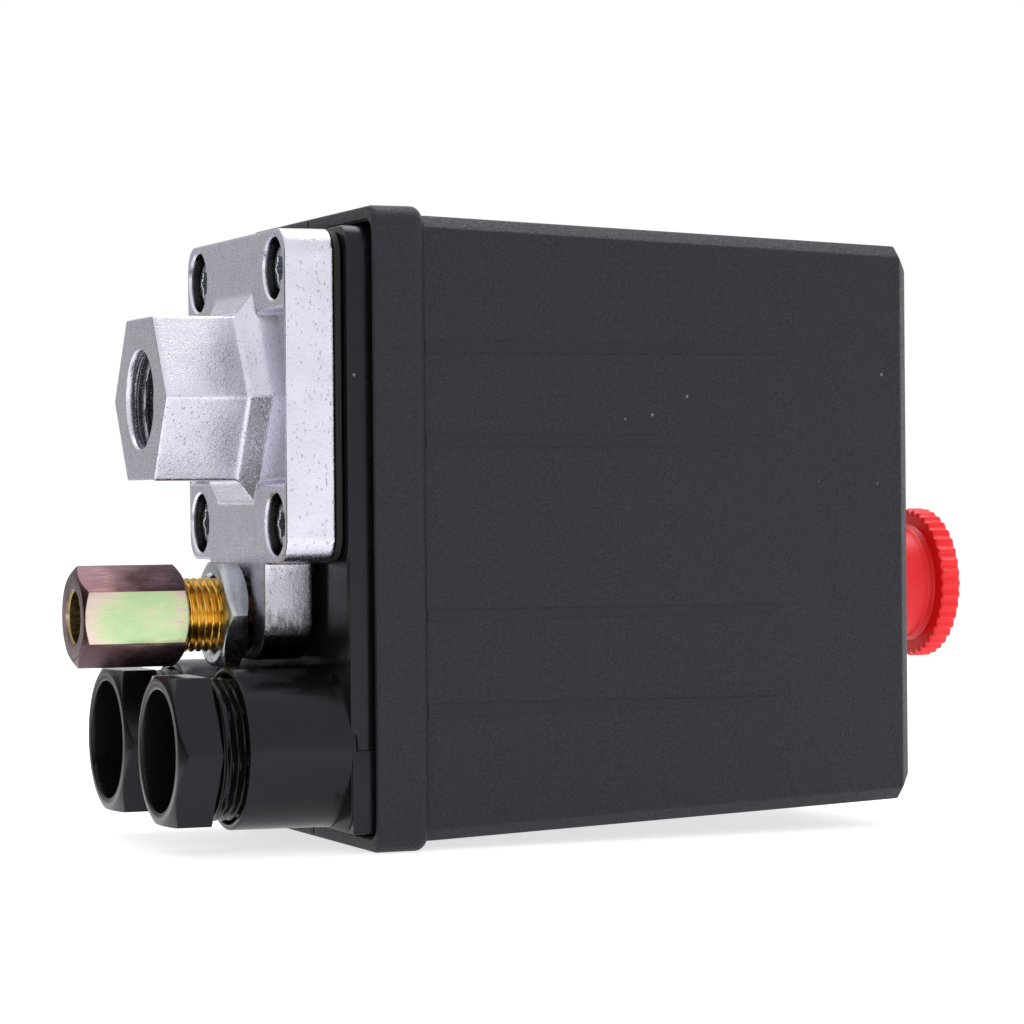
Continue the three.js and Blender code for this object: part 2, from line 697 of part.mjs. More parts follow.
const RANGE_SCREW_TIP = LEVER_BACK + 14;

function rangeScrew() {
  const shank = rod(RANGE_SCREW_R, RANGE_SCREW_TIP, BRIDGE_BACK + 1);
  const head = hexBar(2 * RANGE_SCREW_R + 4, BRIDGE_BACK + GAP, BRIDGE_BACK + GAP + RANGE_SCREW_HEAD);
  return carve([shank, head]);
}

// ---------------------------------------------------------------- contacts
const BLOCK_HALF_WIDTH = CONTACT_X + 4.5;
const RAIL_INSIDE = BLOCK_HALF_WIDTH + 1;
const RAIL_OUTSIDE = RAIL_INSIDE + 3;
const BLOCK_SCREW_R = 1.4;
const BLOCK_SCREW_X = RAIL_INSIDE + 4.4;
const BLOCK_SCREW_Y = CONTACT_Y + 5;
const TAB_SHEET = 1;
const BLOCK_HALF_HEIGHT = CONTACT_HALF_SPAN + 1.2;
const TERMINAL_SCREW_R = 1.5;
const TERMINAL_Z = BLOCK_FRONT + 6.5;
const TERMINAL_DEPTH = 4.5;
const CARRIER_STEM_R = 2.5;
const EARTH_SCREW_R = 2;
const EARTH_SCREW_X = CHEEK_INSIDE + CHEEK_SHEET + 2.8;
const COVER_SCREW_R = 1.9;

function contactBlock() {
  const low = CONTACT_Y - BLOCK_HALF_HEIGHT;
  const high = CONTACT_Y + BLOCK_HALF_HEIGHT;
  const half = BLOCK_HALF_WIDTH;
  const joined = [block(-half, half, low, high, BLOCK_FRONT, BLOCK_BACK)];
  const removed = [rod(CARRIER_STEM_R + GAP, BLOCK_FRONT - 1, BLOCK_BACK + 1, 0, CONTACT_Y)];
  const foot = BASE_BACK + GAP;
  for (const side of [-1, 1]) {
    const [a, b] = [side * RAIL_INSIDE, side * RAIL_OUTSIDE].sort((p, q) => p - q);
    const [c, d] = [side * (half - 1), side * RAIL_OUTSIDE].sort((p, q) => p - q);
    const [e, f] = [side * RAIL_INSIDE, side * (BLOCK_SCREW_X + 2.4)].sort((p, q) => p - q);
    joined.push(block(a, b, CONTACT_Y - 2, CONTACT_Y + 3, foot, BLOCK_BACK));
    joined.push(block(c, d, CONTACT_Y - 2, CONTACT_Y + 3, BLOCK_FRONT + 2, BLOCK_BACK));
    joined.push(block(e, f, CONTACT_Y - 1, CONTACT_Y + 7.4, foot, foot + 2.5));
    removed.push(rod(BLOCK_SCREW_R + GAP, foot - 1, foot + 4, side * BLOCK_SCREW_X, BLOCK_SCREW_Y));
    for (const level of [-1, 1]) {
      const hole = rod(TERMINAL_SCREW_R + GAP, -TERMINAL_DEPTH, 1).rotateX((-level * Math.PI) / 2);
      hole.translate(side * CONTACT_X, CONTACT_Y + level * BLOCK_HALF_HEIGHT, TERMINAL_Z);
      removed.push(hole);
    }
  }
  return carve(joined, removed);
}

// A strip bent over the block's edge, with its contact button facing -z. Level is 1 on top, -1 below.
function fixedContact(level) {
  const tabFrom = BLOCK_HALF_HEIGHT - CONTACT_HALF_SPAN + GAP;
  const tabTo = tabFrom + TAB_SHEET;
  const [low, high] = [level * -BRIDGE_HALF_WIDTH, level * tabTo].sort((p, q) => p - q);
  const [tabLow, tabHigh] = [level * tabFrom, level * tabTo].sort((p, q) => p - q);
  const reach = TERMINAL_Z + 3 - BLOCK_FRONT;
  const strip = block(-2.2, 2.2, low, high, -GAP - TAB_SHEET, -GAP);
  const tab = block(-2.2, 2.2, tabLow, tabHigh, -GAP - TAB_SHEET, reach);
  const button = rod(1.5, -GAP - TAB_SHEET - 0.5, -GAP - 0.2, 0, 0, 16);
  const hole = rod(TERMINAL_SCREW_R + GAP, -TAB_SHEET * 4, TAB_SHEET * 4).rotateX(Math.PI / 2);
  hole.translate(0, level * tabFrom, TERMINAL_Z - BLOCK_FRONT);
  return carve([strip, tab, button], [hole]);
}

const FIXED_BUTTON = BLOCK_FRONT - GAP - TAB_SHEET - 0.5;
const BRIDGE_SHEET = 0.8;
const BRIDGE_BUTTON = 0.7;
const BRIDGE_FRONT_Z = FIXED_BUTTON - GAP - BRIDGE_BUTTON - BRIDGE_SHEET;

function contactBridge() {
  const half = CONTACT_HALF_SPAN + BRIDGE_HALF_WIDTH;
  const strip = block(-BRIDGE_HALF_WIDTH, BRIDGE_HALF_WIDTH, -half, half, 0, BRIDGE_SHEET);
  const buttons = [-1, 1].map((level) =>
    rod(1.5, BRIDGE_SHEET - 0.2, BRIDGE_SHEET + BRIDGE_BUTTON, 0, level * CONTACT_HALF_SPAN, 16),
  );
  return carve([strip, ...buttons]);
}

function contactCarrier() {
  const front = LEVER_BACK + GAP;
  const back = BRIDGE_FRONT_Z - GAP;
  const nose = block(-3, 3, CONTACT_Y - 1, CONTACT_Y + 1, front, back);
  const reach = CONTACT_X + 2.4;
  const arm = block(-reach, reach, CONTACT_Y - 3, CONTACT_Y + 3, front + 2, back);
  const stem = rod(CARRIER_STEM_R, back - 1, BLOCK_BACK - 2, 0, CONTACT_Y);
  return carve([nose, arm, stem]);
}

// ---------------------------------------------------------------- cover and knob
function cover() {
  const collarOutline = roundedRectangle(
    COVER_WIDTH - 2 * COLLAR_ROUND,
    COVER_HEIGHT - 2 * COLLAR_ROUND,
    COVER_CORNER_R - COLLAR_ROUND + 0.2,
    0,
    COVER_CENTRE_Y,
  );
  const collar = new THREE.ExtrudeGeometry(collarOutline, {
    depth: COLLAR_LENGTH,
    bevelThickness: COLLAR_ROUND,
    bevelSize: COLLAR_ROUND,
    bevelSegments: 4,
    curveSegments: 4,
  });
  collar.translate(0, 0, COVER_MOUTH - COLLAR_ROUND);
  const bodyWidth = COVER_WIDTH - 2 * COLLAR_STEP;
  const bodyHeight = COVER_HEIGHT - 2 * COLLAR_STEP;
  const bevel = COVER_CHAMFER;
  const bodyStart = COVER_MOUTH + COLLAR_LENGTH;
  // The bevel moves each edge of the outline out, which lengthens its corner cuts.
  const cornerCut = bevel * (Math.SQRT2 - 1);
  const bodyOutline = chamferedRectangle(
    bodyWidth - 2 * bevel,
    bodyHeight - 2 * bevel,
    cornerCut,
    0,
    COVER_CENTRE_Y,
  );
  const body = new THREE.ExtrudeGeometry(bodyOutline, {
    depth: COVER_END - COVER_MOUTH - 2 * bevel - 1,
    bevelThickness: bevel,
    bevelSize: bevel,
    bevelSegments: 1,
  });
  body.translate(0, 0, COVER_MOUTH + 1 + bevel);
  const scaleX = 1 - (2 * DRAFT_SIDE) / bodyWidth;
  const scaleY = 1 - (2 * DRAFT_TOP) / bodyHeight;
  drafted(body, bodyStart, COVER_END, scaleX, scaleY, COVER_CENTRE_Y);
  const hollow = prism(
    roundedRectangle(bodyWidth - 2 * COVER_WALL, bodyHeight - 2 * COVER_WALL, 1.5, 0, COVER_CENTRE_Y),
    COVER_MOUTH,
    COVER_END - COVER_WALL,
    4,
  );
  drafted(hollow, bodyStart, COVER_END, scaleX, scaleY, COVER_CENTRE_Y);
  const mouth = prism(
    roundedRectangle(
      COVER_WIDTH - 2 * COLLAR_SIDE_WALL,
      COVER_HEIGHT - 2 * COVER_WALL,
      COVER_CORNER_R,
      0,
      COVER_CENTRE_Y,
    ),
    COVER_MOUTH - 1,
    BASE_BACK + 1.5,
    4,
  );
  const far = COVER_HEIGHT;
  const front = block(-far, far, -far - 20, far, COVER_MOUTH - 10, COVER_MOUTH);
  return carve(
    [collar, body],
    [
      front,
      hollow,
      mouth,
      rod(KNOB_STEM_R + 0.4, COVER_END - COVER_WALL - 2, COVER_END + 1, 0, KNOB_Y, FINE),
      rod(COVER_SCREW_R + 0.4, COVER_END - COVER_WALL - 2, COVER_END + 1, 0, COVER_SCREW_Y),
    ],
  );
}

const KNOB_FLANGE = 2;
const KNOB_BACK = COVER_END - COVER_WALL - GAP - KNOB_FLANGE;
const SOCKET_DEPTH = 9;

function knob() {
  const disc = new THREE.Shape();
  const points = KNOB_TEETH * 2;
  for (let i = 0; i < points; i += 1) {
    const angle = (i * 2 * Math.PI) / points;
    const reach = i % 2 ? KNOB_DISC_R - KNOB_TOOTH_DEPTH : KNOB_DISC_R;
    const point = [reach * Math.cos(angle), reach * Math.sin(angle)];
    if (i) {
      disc.lineTo(...point);
    } else {
      disc.moveTo(...point);
    }
  }
  disc.closePath();
  const discFrom = COVER_END + KNOB_REACH;
  const plate = prism(disc, discFrom, discFrom + KNOB_DISC_THICKNESS);
  const stem = turned(
    [
      [0, KNOB_BACK],
      [KNOB_STEM_R + 1.6, KNOB_BACK],
      [KNOB_STEM_R + 1.6, KNOB_BACK + KNOB_FLANGE],
      [KNOB_STEM_R, KNOB_BACK + KNOB_FLANGE],
      [KNOB_STEM_R, discFrom - 0.8],
      [KNOB_STEM_R + 0.8, discFrom + 0.2],
      [0, discFrom + 0.2],
    ],
    FINE,
  );
  const socket = rod(KNOB_SHAFT_R + GAP, KNOB_BACK - 1, KNOB_BACK + SOCKET_DEPTH);
  return carve([plate, stem], [socket]);
}

// The shaft's foot stops just short of the contact block when the knob is pushed in.
function knobShaft() {
  const tip = BLOCK_BACK + KNOB_STROKE + 1.5;
  const end = KNOB_BACK + SOCKET_DEPTH - GAP;
  return turned(
    [
      [0, tip],
      [KNOB_SHAFT_R + 2, tip],
      [KNOB_SHAFT_R + 2, tip + 1.5],
      [KNOB_SHAFT_R, tip + 3],
      [KNOB_SHAFT_R, end],
      [0, end],
    ],
    COARSE,
  );
}

// ---------------------------------------------------------------- assembly
add("cover", cover(), COVER_PLASTIC);
add("port_flange", portFlange(), CAST_ALUMINIUM);
add("base_housing", baseHousing(), HOUSING_PLASTIC);
add("diaphragm", diaphragm(), RUBBER, 0, 0, DIAPHRAGM_FRONT);
add("pressure_piston", pressurePiston(), BRASS, 0, 0, BASE_FRONT + GAP);

const headUnderside = FLANGE_FACE + SCREW_HEAD_SUNK + SCREW_HEAD_HEIGHT;
const flangeScrewLength = FRAME_BACK + SCREW_PAST_FRAME - headUnderside;
screwPlaces.forEach(([x, y], index) => {
  const recess = [starRecess(SCREW_HEAD_R * 0.5, -1, 1.3)];
  const screw = panScrew(SCREW_SHANK_R, SCREW_HEAD_R, SCREW_HEAD_HEIGHT, flangeScrewLength, recess, 18);
  add(`flange_screw_${index + 1}`, screw, ZINC, x, y, FLANGE_FACE + SCREW_HEAD_SUNK);
});

glandPlaces.forEach((x, index) => {
  add(`gland_nut_${index + 1}`, glandNut(), HOUSING_PLASTIC, x, GLAND_Y, GLAND_MOUTH);
  add(`gland_seal_${index + 1}`, glandSeal(), RUBBER, x, GLAND_Y, GLAND_MOUTH + GLAND_LENGTH + GAP);
});

const unloader = new THREE.Group();
unloader.position.y = UNLOADER_Y;
pressureSwitch.add(unloader);

function addToUnloader(name, geometry, look, z) {
  const mesh = add(name, geometry, look, 0, 0, z);
  unloader.add(mesh);
}

addToUnloader("unloader_body", unloaderBody(), BRASS, UNLOADER_FRONT);
addToUnloader("lock_nut", lockNut(), ZINC, FLANGE_FACE - GAP - LOCK_NUT_THICKNESS);
addToUnloader("compression_nut", compressionNut(), YELLOW_ZINC, TUBE_NUT_FRONT);
addToUnloader("ferrule", ferrule(), BRASS, UNLOADER_FRONT - GAP - FERRULE_LENGTH);
addToUnloader("unloader_pin", unloaderPin(), SPRING_STEEL, PIN_TIP);
const pinSpringFrom = UNLOADER_FRONT + UNLOADER_SEAT + GAP;
addToUnloader(
  "unloader_spring",
  coilSpring(PIN_R + 0.9, 0.35, pinSpringFrom, PIN_COLLAR - GAP, 5, 8),
  SPRING_STEEL,
  0,
);

add("frame", frame(), FRAME_STEEL);
add("lever", lever(), FRAME_STEEL, 0, LEVER_PIVOT_Y, LEVER_PIVOT_Z);
add("lever_pin", leverPin(), SPRING_STEEL, 0, LEVER_PIVOT_Y, LEVER_PIVOT_Z);
add("spring_seat", springSeat(), FRAME_STEEL, 0, 0, LEVER_BACK + GAP);
const springFrom = LEVER_BACK + GAP + SEAT_BASE + GAP;
add(
  "range_spring",
  coilSpring(SPRING_R, SPRING_WIRE_R, springFrom, RANGE_NUT_FRONT - GAP, SPRING_TURNS),
  SPRING_STEEL,
);
add("range_nut", rangeNut(), FRAME_STEEL, 0, 0, RANGE_NUT_FRONT);
add("range_screw", rangeScrew(), ZINC);

add("contact_block", contactBlock(), CONTACT_PLASTIC);
add("contact_carrier", contactCarrier(), CONTACT_PLASTIC);
let contactNumber = 0;
[-1, 1].forEach((side, index) => {
  const bridge = contactBridge();
  add(`contact_bridge_${index + 1}`, bridge, COPPER, side * CONTACT_X, CONTACT_Y, BRIDGE_FRONT_Z);
  const footRecess = crossRecess(1.3, 0.6, -1, 0.8);
  const footScrew = panScrew(BLOCK_SCREW_R, 2.2, 1.6, BASE_THICKNESS, footRecess);
  footScrew.rotateX(Math.PI);
  const footTop = BASE_BACK + GAP + 2.5 + GAP + 1.6;
  add(`block_screw_${index + 1}`, footScrew, ZINC, side * BLOCK_SCREW_X, BLOCK_SCREW_Y, footTop);
  for (const level of [-1, 1]) {
    contactNumber += 1;
    const x = side * CONTACT_X;
    const height = CONTACT_Y + level * CONTACT_HALF_SPAN;
    add(`fixed_contact_${contactNumber}`, fixedContact(level), COPPER, x, height, BLOCK_FRONT);
    const recess = crossRecess(1.5, 0.7, -1, 0.8);
    const screw = panScrew(TERMINAL_SCREW_R, 2.7, 1.6, TERMINAL_DEPTH, recess);
    screw.rotateX((level * Math.PI) / 2);
    const top = BLOCK_HALF_HEIGHT + 2 * GAP + TAB_SHEET + 1.6;
    const y = CONTACT_Y + level * top;
    add(`terminal_screw_${contactNumber}`, screw, BRASS, x, y, TERMINAL_Z);
  }
});
add(
  "contact_spring",
  coilSpring(CARRIER_STEM_R + 0.9, 0.4, BRIDGE_FRONT_Z, BLOCK_FRONT - GAP, 3, 8),
  SPRING_STEEL,
  0,
  CONTACT_Y,
);

const earthRecess = crossRecess(1.5, 0.7, -1, 0.9);
const earthScrew = panScrew(EARTH_SCREW_R, 2.4, 1.8, FRAME_SHEET + GAP, earthRecess);
earthScrew.rotateX(Math.PI);
add("earth_screw", earthScrew, BRASS, EARTH_SCREW_X, 0, FRAME_BACK + GAP + 1.8);

add("knob", knob(), KNOB_PLASTIC, 0, KNOB_Y);
add("knob_shaft", knobShaft(), SPRING_STEEL, 0, KNOB_Y);

const coverScrewLength = COVER_END + GAP - BRIDGE_FRONT + 1;
const coverRecess = crossRecess(2.1, 0.9, -1, 1.1);
const coverScrew = panScrew(COVER_SCREW_R, 3.6, 2.1, coverScrewLength, coverRecess);
coverScrew.rotateX(Math.PI);
add("cover_screw", coverScrew, ZINC, 0, COVER_SCREW_Y, COVER_END + GAP + 2.1);

export default pressureSwitch;
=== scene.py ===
"""Looks for the compressor pressure switch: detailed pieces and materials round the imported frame.

Sizes are in millimetres, in the frame's own axes, and MM turns them into Blender's metres. Every turned
piece lies along +X. The centre of the port's mouth is the origin.
"""

import json
import math

import bmesh
import bpy
import numpy as np
from mathutils import Matrix, Vector


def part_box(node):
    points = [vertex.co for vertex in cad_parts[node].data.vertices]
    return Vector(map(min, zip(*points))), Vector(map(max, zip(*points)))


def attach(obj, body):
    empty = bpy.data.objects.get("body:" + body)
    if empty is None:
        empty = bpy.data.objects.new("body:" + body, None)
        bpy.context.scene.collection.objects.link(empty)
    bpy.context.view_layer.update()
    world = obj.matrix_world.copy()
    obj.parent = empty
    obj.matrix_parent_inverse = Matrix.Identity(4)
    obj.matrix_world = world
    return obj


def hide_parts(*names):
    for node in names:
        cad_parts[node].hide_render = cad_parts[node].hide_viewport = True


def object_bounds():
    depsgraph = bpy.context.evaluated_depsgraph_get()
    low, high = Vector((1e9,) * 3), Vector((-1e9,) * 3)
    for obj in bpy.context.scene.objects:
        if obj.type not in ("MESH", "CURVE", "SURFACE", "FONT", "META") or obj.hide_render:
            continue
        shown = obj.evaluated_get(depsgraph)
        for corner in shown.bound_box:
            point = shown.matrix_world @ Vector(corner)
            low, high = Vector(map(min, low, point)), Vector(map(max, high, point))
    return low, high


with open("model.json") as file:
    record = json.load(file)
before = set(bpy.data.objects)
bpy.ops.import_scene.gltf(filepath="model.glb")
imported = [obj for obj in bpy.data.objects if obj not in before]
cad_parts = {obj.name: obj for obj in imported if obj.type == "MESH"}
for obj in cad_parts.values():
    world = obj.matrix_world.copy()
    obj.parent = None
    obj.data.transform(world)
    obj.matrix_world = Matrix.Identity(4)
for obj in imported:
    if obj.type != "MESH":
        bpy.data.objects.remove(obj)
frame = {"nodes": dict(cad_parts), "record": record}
cad_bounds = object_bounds()

MM = 0.001
TAU = 2 * math.pi
ROUND = 96  # points round a large turned piece
SMALL_ROUND = 48
HEX_EDGE = 0.07  # how far a hexagon's corners and edges are eased


def box_mm(node):
    low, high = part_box(node)
    return low / MM, high / MM


# ---------------------------------------------------------------- sizes taken from the frame
cover_low, cover_high = box_mm("cover")
flange_low, flange_high = box_mm("port_flange")
base_low, base_high = box_mm("base_housing")
_, diaphragm_high = box_mm("diaphragm")
knob_low, knob_high = box_mm("knob")
body_low, body_high = box_mm("unloader_body")
lock_low, lock_high = box_mm("lock_nut")
tube_low, tube_high = box_mm("compression_nut")

FLANGE_BACK = flange_high.x
FLANGE_THICKNESS = 6.6
FLANGE_FACE = FLANGE_BACK - FLANGE_THICKNESS
FLANGE_HALF = flange_high.y
BASE_FRONT = diaphragm_high.x + 0.3
BASE_BACK = base_high.x
UNLOADER_Z = (body_low.z + body_high.z) / 2
KNOB_Z = (knob_low.z + knob_high.z) / 2
COVER_MOUTH = cover_low.x
COVER_END = cover_high.x
COVER_MIDDLE_Z = (cover_low.z + cover_high.z) / 2
CENTRE = (cad_bounds[0] + cad_bounds[1]) / 2
FLOOR_Z = cad_bounds[0].z

# ---------------------------------------------------------------- sizes of the details
COLLAR_LENGTH = 7.7
COLLAR_STEP = 1.1
COLLAR_ROUND = 2.0
COLLAR_CORNER = 2.2
COVER_WALL = 2.0
COLLAR_SIDE_WALL = 1.0
COVER_CHAMFER = 1.7
DRAFT_SIDE = 1.6
DRAFT_TOP = 2.7
LAND_HEIGHT = 0.13
LAND_END = 83.0
KNOB_HOLE_R = 8.4
COVER_SCREW_HOLE_R = 2.3
COVER_SCREW_HEAD = 2.1
COVER_SCREW_SHANK_R = 1.9
SLIT_WIDTH = 0.5

PORT_HEX = 22.0
PORT_BORE_R = 6.6
PORT_BORE_DEPTH = 11.0
PORT_FLARE = 3.4
PORT_FLARE_LENGTH = 1.9
PORT_THREAD_PITCH = 1.337
PORT_THREAD_DEPTH = 0.75
POCKET_DEPTH = 1.0
POCKET_RUN = 5.0
POCKET_RIM = 0.75
POCKET_HALF_HEIGHT = 11.3
BOSS_HALF_WIDTH = 12.4
BOSS_BORE_R = 5.3
REMESH_SIZE = 0.24

GLAND_HEX = 19.4
GLAND_HEX_LENGTH = 5.6
GLAND_BORE_R = 8.0
GLAND_THROAT_R = 6.0
GLAND_THREAD_R = 9.4
GLAND_THREAD_PITCH = 1.0
STUB_R = 10.8
STUB_RIM = base_low.x

LOCK_NUT_HEX = 14.0
TUBE_NUT_HEX = 12.0
TUBE_BORE_R = 3.5
UNLOADER_R = 5.0
UNLOADER_PITCH = 1.0

COUNTERBORE_R = 4.1
COUNTERBORE_DEPTH = 3.6
SCREW_HEAD_HEIGHT = 2.2
SCREW_SHANK_R = 2.4

KNOB_STEM_R = 8.0
KNOB_DISC = 3.05
KNOB_TEETH = 40
KNOB_TOOTH_DEPTH = 0.42


def axis_of(node):
    """The (y, z) of a turned CAD node's axis."""
    low, high = box_mm(node)
    return (low.y + high.y) / 2, (low.z + high.z) / 2


def screw_places():
    return [axis_of(f"flange_screw_{index}") for index in range(1, 5)]


# ---------------------------------------------------------------- mesh tools
def ring(x, radius, y=0.0, z=0.0, count=ROUND):
    """A closed loop round the X axis. x and radius may be one number or one for each point."""
    angle = np.arange(count) * TAU / count
    x = np.broadcast_to(np.asarray(x, float), angle.shape)
    radius = np.broadcast_to(np.asarray(radius, float), angle.shape)
    return np.stack([x, y + radius * np.cos(angle), z + radius * np.sin(angle)], axis=1)


def soften(points, radius, steps=3):
    """Rounds the inner corners of an open outline of (along, across) pairs."""
    points = [np.asarray(p, float) for p in points]
    out = [points[0]]
    for before, corner, after in zip(points, points[1:], points[2:]):
        to_before = before - corner
        to_after = after - corner
        reach = min(radius, 0.45 * np.linalg.norm(to_before), 0.45 * np.linalg.norm(to_after))
        if reach < 1e-4:
            out.append(corner)
            continue
        start = corner + to_before / np.linalg.norm(to_before) * reach
        end = corner + to_after / np.linalg.norm(to_after) * reach
        for i in range(steps + 1):
            t = i / steps
            out.append((1 - t) ** 2 * start + 2 * t * (1 - t) * corner + t * t * end)
    out.append(points[-1])
    return out


def loft(bm, loops, cap_first=False, cap_last=False):
    rows = [[bm.verts.new(Vector(p) * MM) for p in loop] for loop in loops]
    for a, b in zip(rows, rows[1:]):
        for i in range(len(a)):
            j = (i + 1) % len(a)
            bm.faces.new((a[i], a[j], b[j], b[i]))
    if cap_first:
        bm.faces.new(rows[0])
    if cap_last:
        bm.faces.new(rows[-1])
    return rows


def lathe(bm, profile, y=0.0, z=0.0, count=ROUND):
    """Turns (x, radius) pairs round the X axis through (y, z). Radius 0 closes an end."""
    first_on_axis = profile[0][1] == 0
    last_on_axis = profile[-1][1] == 0
    inner = profile[1 if first_on_axis else 0 : -1 if last_on_axis else None]
    rows = loft(bm, [ring(x, r, y, z, count) for x, r in inner])
    ends = ((first_on_axis, profile[0], rows[0]), (last_on_axis, profile[-1], rows[-1]))
    for on_axis, point, row in ends:
        if on_axis:
            tip = bm.verts.new(Vector((point[0], y, z)) * MM)
            for i in range(count):
                bm.faces.new((row[i], row[(i + 1) % count], tip))
    if not first_on_axis and not last_on_axis:
        bridge(bm, rows[0], rows[-1])
    return rows


def bridge(bm, first, last):
    for i in range(len(first)):
        j = (i + 1) % len(first)
        bm.faces.new((first[i], first[j], last[j], last[i]))


def mesh_from(bm, name, sharp=32.0):
    bmesh.ops.remove_doubles(bm, verts=bm.verts, dist=1e-7)
    bmesh.ops.recalc_face_normals(bm, faces=bm.faces)
    mesh = bpy.data.meshes.new(name)
    bm.to_mesh(mesh)
    bm.free()
    mesh.shade_smooth()
    mesh.set_sharp_from_angle(angle=math.radians(sharp))
    return mesh


def piece(mesh, look, slot, body, *replaced):
    """Puts a mesh in the scene as a piece that rides on a body and may stand for CAD nodes."""
    thing = bpy.data.objects.new(mesh.name, mesh)
    bpy.context.scene.collection.objects.link(thing)
    thing.data.materials.append(look)
    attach(thing, body)
    if replaced:
        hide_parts(*replaced)
    return thing


def scratch(bm, name):
    """A loose object for a boolean, removed once it is used."""
    bmesh.ops.recalc_face_normals(bm, faces=bm.faces)
    mesh = bpy.data.meshes.new(name)
    bm.to_mesh(mesh)
    bm.free()
    thing = bpy.data.objects.new(name, mesh)
    bpy.context.scene.collection.objects.link(thing)
    return thing


def unload(thing):
    """Takes a loose object's mesh back into a bmesh and removes the object."""
    bm = bmesh.new()
    bm.from_mesh(thing.data)
    bpy.data.objects.remove(thing)
    return bm


def evaluate(thing):
    """Turns an object's modifiers into its mesh."""
    bpy.context.view_layer.update()
    graph = bpy.context.evaluated_depsgraph_get()
    made = bpy.data.meshes.new_from_object(thing.evaluated_get(graph))
    thing.modifiers.clear()
    thing.data = made


def combine(thing, other, operation):
    modifier = thing.modifiers.new("combine", "BOOLEAN")
    modifier.operation = operation
    modifier.solver = "EXACT"
    modifier.object = other
    evaluate(thing)
    bpy.data.objects.remove(other)


def rod_bm(radius, x0, x1, y, z, count=SMALL_ROUND):
    bm = bmesh.new()
    lathe(bm, [(x0, 0), (x0, radius), (x1, radius), (x1, 0)], y, z, count)
    return bm


def box_bm(low, high):
    bm = bmesh.new()
    bmesh.ops.create_cube(bm, size=1.0)
    for v in bm.verts:
        place = [(low[i] + high[i]) / 2 + v.co[i] * (high[i] - low[i]) for i in range(3)]
        v.co = Vector(place) * MM
    return bm


def hexagon_radius(across_flats, corner_up):
    """Distance from the axis to a hexagon's edge for each angle, with its corners eased."""
    angle = np.arange(ROUND) * TAU / ROUND + (math.pi / 6 if corner_up else 0.0)
    off_flat = (angle % (math.pi / 3)) - math.pi / 6
    straight = across_flats / 2 / np.cos(off_flat)
    limit = across_flats / math.sqrt(3) - HEX_EDGE
    return np.minimum(straight, limit)


def hexagon_loops(across_flats, x0, x1, back, y, z, corner_up=False):
    """Loops of a hexagonal bar with a cone turned on its front, and on its back if asked."""
    edge = HEX_EDGE
    radius = hexagon_radius(across_flats, corner_up)
    face = across_flats / 2 - 0.25
    slope = math.tan(math.radians(30))
    start = x0 + (radius - face) * slope + edge
    stations = [
        (x0, face - 0.3),
        (x0 + edge * 0.3, face),
        (start - edge, radius - edge * 0.8),
        (start + edge, radius),
    ]
    if back:
        end = x1 - (radius - face) * slope - edge
        stations += [
            (end - edge, radius),
            (end + edge, radius - edge * 0.8),
            (x1 - edge * 0.3, face),
            (x1, face - 0.3),
        ]
    else:
        stations += [(x1 - edge, radius), (x1, radius - edge)]
    return [ring(x, r, y, z) for x, r in stations]


def thread_loops(radius, depth, pitch, x0, x1, y=0.0, z=0.0, steps=8, inner=False):
    """Loops of a screw thread. The helix runs through the loops, so each one is a shifted wave."""
    angle = np.arange(ROUND) / ROUND
    loops = []
    total = max(2, int(round((x1 - x0) / pitch * steps)))
    for i in range(total + 1):
        x = x0 + (x1 - x0) * i / total
        phase = (x / pitch - angle) % 1.0
        wave = np.clip(1.15 * np.abs(2 * phase - 1) * 1.15 - 0.1, 0, 1)
        fade = min(1.0, i / steps, (total - i) / steps + 0.3)
        cut = depth * (1 - wave) * fade
        loops.append(ring(x, radius + cut if inner else radius - cut, y, z))
    return loops


# ---------------------------------------------------------------- material tools
def blank_material(name):
    material = bpy.data.materials.new(name)
    material.use_nodes = True
    material.node_tree.nodes.clear()
    return material, material.node_tree


def node(tree, kind, inputs=None, **settings):
    made = tree.nodes.new(kind)
    for key, value in settings.items():
        setattr(made, key, value)
    for key, value in (inputs or {}).items():
        socket = made.inputs[key]
        if isinstance(value, bpy.types.NodeSocket):
            tree.links.new(value, socket)
        else:
            socket.default_value = value
    return made


def object_point(tree):
    return node(tree, "ShaderNodeTexCoord").outputs["Object"]


def noise(tree, where, scale, detail=3.0, roughness=0.55):
    inputs = {"Vector": where, "Scale": scale, "Detail": detail, "Roughness": roughness}
    return node(tree, "ShaderNodeTexNoise", inputs).outputs["Fac"]


def stretched(tree, where, factors):
    return vector_math(tree, "MULTIPLY", where, factors)[0]


def remap(tree, value, from_low, from_high, to_low=0.0, to_high=1.0):
    ends = {"From Min": from_low, "From Max": from_high, "To Min": to_low, "To Max": to_high}
    inputs = {"Value": value, **ends}
    return node(tree, "ShaderNodeMapRange", inputs).outputs["Result"]


def math_node(tree, operation, a, b=0.0):
    return node(tree, "ShaderNodeMath", {0: a, 1: b}, operation=operation).outputs[0]


def times(tree, a, b):
    return math_node(tree, "MULTIPLY", a, b)


def plus(tree, a, b):
    return math_node(tree, "ADD", a, b)


def vector_math(tree, operation, a, b=(0.0, 0.0, 0.0)):
    return node(tree, "ShaderNodeVectorMath", {0: a, 1: b}, operation=operation).outputs


def mix(tree, factor, a, b):
    made = node(tree, "ShaderNodeMix", data_type="RGBA")
    for index, value in ((0, factor), (6, a), (7, b)):
        if isinstance(value, bpy.types.NodeSocket):
            tree.links.new(value, made.inputs[index])
        else:
            made.inputs[index].default_value = value
    return made.outputs[2]


def specks(tree, where, scale, size):
    """1 on small scattered dots, 0 elsewhere."""
    inputs = {"Vector": where, "Scale": scale}
    distance = node(tree, "ShaderNodeTexVoronoi", inputs).outputs["Distance"]
    return remap(tree, distance, size, size * 0.6)


